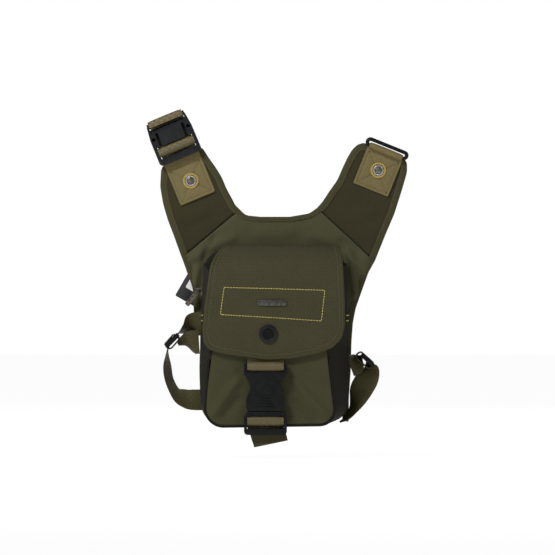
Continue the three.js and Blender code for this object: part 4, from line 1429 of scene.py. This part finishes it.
def shoulder(origin, lean):
    """A shoulder's placing function for slabs, and its turn for lofted shapes."""
    lean = math.radians(lean)
    turn = Matrix.Translation((origin[0], 0, origin[1])) @ Matrix.Rotation(lean, 4, "Y")
    return lambda front: turned_place(origin, lean, front), turn


class HARNESS_OT_left_shoulder(bpy.types.Operator):
    """Left adjuster, its webbing and the sewn tab"""

    bl_idname = "harness.left_shoulder"
    bl_label = "Left shoulder hardware"

    def execute(self, context):
        place_at, turn = shoulder(*LEFT_SHOULDER)
        place = sewn_tab("left", place_at, -71, -17.4, "left_arm")
        rivet("left", place, -50.4, "left_arm")
        moulding("left_adjuster", "left_adjuster_body", "acetal_plate", "left_arm", 0.6, 3)
        low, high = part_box("left_adjuster")
        y = (low.y + high.y) / 2 / MM
        roll = wrap("left_tab_roll_webbing", -20.2, 20.2, y, -11.2, 5)
        fixed, hang = 18.8, PANEL_BACK + 0.3
        line = [(y - 4.1, fixed - 2.2), (y - 4.1, fixed), (y - 2.9, fixed + 2.9), (y, fixed + 4.1),
                (y + 8, fixed + 4.1), (hang - 3, fixed + 3.4), (hang + 0.2, fixed + 1), (hang + 1, fixed - 4),
                (hang + 1, -20), (hang + 1, -74)]
        long_strap = strap("shoulder_strap_webbing", [(0, a, b, 1, 0, 0) for a, b in line], 38, 1.6, 72)
        edge = rounded([(-22.4, -4.6, 1), (22.4, -4.6, 1), (22, 14.4, 1), (-22, 14.4, 1)], 3.0)
        # A dark plate just behind the adjuster: painted shade seen through its slots.
        shade = sheet_of("left_adjuster_shade_sheet", edge, high.y / MM + 0.6, 0.4)
        lean_over(shade, turn)
        finish(shade, "acetal", "left_arm")
        for obj, body, node in ((roll, "left_arm", "left_tab_roll"), (long_strap, "strap_end", "shoulder_strap")):
            lean_over(obj, turn)
            finish(obj, "tan_webbing", body, [node], 60)
        return {"FINISHED"}


class HARNESS_OT_right_shoulder(bpy.types.Operator):
    """Right rectangular ring and the sewn tab"""

    bl_idname = "harness.right_shoulder"
    bl_label = "Right shoulder hardware"

    def execute(self, context):
        place_at, turn = shoulder(*RIGHT_SHOULDER)
        place = sewn_tab("right", place_at, -47, -3.2, "right_arm")
        rivet("right", place, -24.4, "right_arm")
        moulding("right_ring", "right_ring_wire", "acetal", "shoulder_ring", 0.1, 1, 80)
        low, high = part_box("right_ring")
        fold = wrap("right_tab_fold", -18.6, 18.6, (low.y + high.y) / 2 / MM, -3.2, 3.6)
        lean_over(fold, turn)
        finish(fold, "tab_webbing", "right_arm", (), 60)
        return {"FINISHED"}


SIDE_WIDE, SIDE_THICK = 25, 1.6
# Each ladder lock's fold: side, middle (x, z), slope in degrees and half the length of its straight runs.
LOCK_FOLDS = (("left", (-109.6, -12.2), 48, 4.6), ("right", (92.6, -31.6), -42, 6.4))
LOCK_END, LOCK_OUT = 3.6, 4.1


class HARNESS_OT_side_straps(bpy.types.Operator):
    """Two side straps with their ladder locks"""

    bl_idname = "harness.side_straps"
    bl_label = "Side straps"

    def execute(self, context):
        y = SIDE_Y
        pieces = {
            "left_strap_upper": ([
                (-78.6, y, 6.6, 0, -0.05, 1), (-86.5, y, 5.8, 0, -0.15, 1), (-94.5, y, 0.8, -0.1, -0.9, 0.55),
                (-102.6, y, -3.4, 0, -1, 0), (-104.4, y, -6, 0, -1, 0)], SIDE_WIDE),
            "left_strap_loop": ([
                (-112.8, y, -16.5, 0, 1, 0), (-114.6, y, -22, 0, 1, 0), (-114.8, y, -38, 0.35, 0.93, 0),
                (-112.5, y, -53, 0.3, 0.9, 0.3),
                (-105, y + 1, -67.5, 0, 0.7, 0.75), (-95, y + 4, -72.6, -0.2, 0.4, 1),
                (-86, y + 6, -73.6, 0, 0.2, 1), (-76.5, y + 8.6, -73.6, 0, 0.1, 1)], 22),
            "left_strap_tail": ([
                (-102, y, -15.6, 0, -1, 0), (-98.5, y - 0.5, -15.4, 0, -1, 0.1),
                (-93.5, y - 3.5, -14.6, 0.1, -0.7, 0.7),
                (-88, y - 6, -13, 0, -0.2, 1), (-81.3, y - 6, -12.5, 0, -0.05, 1)], SIDE_WIDE),
            "right_strap_upper": ([
                (77, y, -37, 0, 0.1, 1), (82, y, -35, 0, 0.2, 1), (86, y, -31, 0, 0.7, 0.7),
                (89.5, y, -27.5, 0, 1, 0)], SIDE_WIDE),
            "right_strap_loop": ([
                (95.5, y, -33, 0.1, -1, 0), (97.8, y, -38.4, 0.55, -0.8, -0.2), (98.4, y, -43, 0.75, -0.6, -0.25),
                (95, y + 1.4, -52, 0.88, -0.3, -0.35),
                (89.5, y + 3.4, -62, 0.9, -0.3, -0.34), (85.5, y + 3.9, -73, 0.6, -0.7, -0.38),
                (81.2, y + 4.4, -82.9, 0.3, -0.93, -0.25), (75, y + 4.4, -91.8, 0.1, -0.98, -0.15),
                (66.5, y + 4.4, -97, 0, -1, 0)], SIDE_WIDE),
        }
        for node, (stations, width) in pieces.items():
            doubled = node == "right_strap_upper"
            obj = strap(f"{node}_webbing", stations, width, 2.4 if doubled else SIDE_THICK, 40)
            finish(obj, "olive_webbing", f"{node.split('_')[0]}_side_strap", [node], 60)
        # The webbing doubles back over both of each lock's bars, so that little of the lock shows.
        for side, middle, slope, half in LOCK_FOLDS:
            ahead = Vector((math.cos(math.radians(slope)), math.sin(math.radians(slope))))
            across = Vector((-ahead.y, ahead.x))
            stations = []
            for i in range(25):
                turn = 2 * math.pi * i / 24
                reach = math.copysign(half, math.cos(turn)) + LOCK_END * math.cos(turn)
                swing = ahead * reach + across * LOCK_OUT * math.sin(turn)
                stations.append((middle[0] + swing.x, y, middle[1] + swing.y, 0, 1, 0))
            fold = strap(f"{side}_lock_fold", stations, 23.5, SIDE_THICK, 48)
            finish(fold, "olive_webbing", f"{side}_side_strap", (), 60)
        for side in ("left", "right"):
            moulding(f"{side}_ladder_lock", f"{side}_ladder_lock_body", "acetal",
                     f"{side}_side_strap", 0.5)
        return {"FINISHED"}


class HARNESS_OT_swing_tag(bpy.types.Operator):
    """Blank swing tag: a dark card with a pale window"""

    bl_idname = "harness.swing_tag"
    bl_label = "Swing tag"

    def execute(self, context):
        moulding("swing_tag", "swing_tag_card", "dark_card", "tag", 0.12)
        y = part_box("swing_tag")[0].y / MM - 0.12
        turn = Matrix.Translation((-107, 0, 36.2)) @ Matrix.Rotation(math.radians(-60), 4, "Y")
        corners = [(13, -5, 0.6), (43, -5, 0.6), (43, -27, 0.6), (13, -27, 0.6)]
        window = sheet_of("swing_tag_window", rounded(corners, 2.0), y, 0.05)
        lean_over(window, turn)
        finish(window, "white_card", "tag")
        return {"FINISHED"}


# ---------------------------------------------------------------- panel and registration

PIECES = (
    HARNESS_OT_back_pad, HARNESS_OT_chest_panel, HARNESS_OT_shoulder_arms, HARNESS_OT_rear_compartment,
    HARNESS_OT_zip, HARNESS_OT_pouch, HARNESS_OT_flap, HARNESS_OT_front_buckle, HARNESS_OT_closure_straps,
    HARNESS_OT_left_shoulder, HARNESS_OT_right_shoulder, HARNESS_OT_side_straps, HARNESS_OT_swing_tag)


class HARNESS_PT_pack(bpy.types.Panel):
    """Lists the pack's settings and pieces"""

    bl_idname = "HARNESS_PT_pack"
    bl_label = "Binocular Harness Pack"
    bl_space_type = "VIEW_3D"
    bl_region_type = "UI"
    bl_category = "Harness Pack"

    def draw(self, context):
        for group in (context.scene.harness_pack_look, context.scene.harness_pack_sizes):
            for name in group.bl_rna.properties.keys():
                if name not in ("rna_type", "name"):
                    self.layout.prop(group, name)
        for piece in (HARNESS_OT_stage, *PIECES):
            self.layout.operator(piece.bl_idname)


CLASSES = (HarnessPackLook, HarnessPackSizes, HARNESS_OT_stage, *PIECES, HARNESS_PT_pack)


def register():
    for cls in CLASSES:
        bpy.utils.register_class(cls)
    bpy.types.Scene.harness_pack_look = PointerProperty(type=HarnessPackLook)
    bpy.types.Scene.harness_pack_sizes = PointerProperty(type=HarnessPackSizes)


def unregister():
    del bpy.types.Scene.harness_pack_sizes
    del bpy.types.Scene.harness_pack_look
    for cls in reversed(CLASSES):
        bpy.utils.unregister_class(cls)


def main():
    register()
    make_materials(look())
    bpy.ops.harness.stage()
    for piece in PIECES:
        group, name = piece.bl_idname.split(".")
        getattr(getattr(bpy.ops, group), name)()


if __name__ == "__main__":
    main()
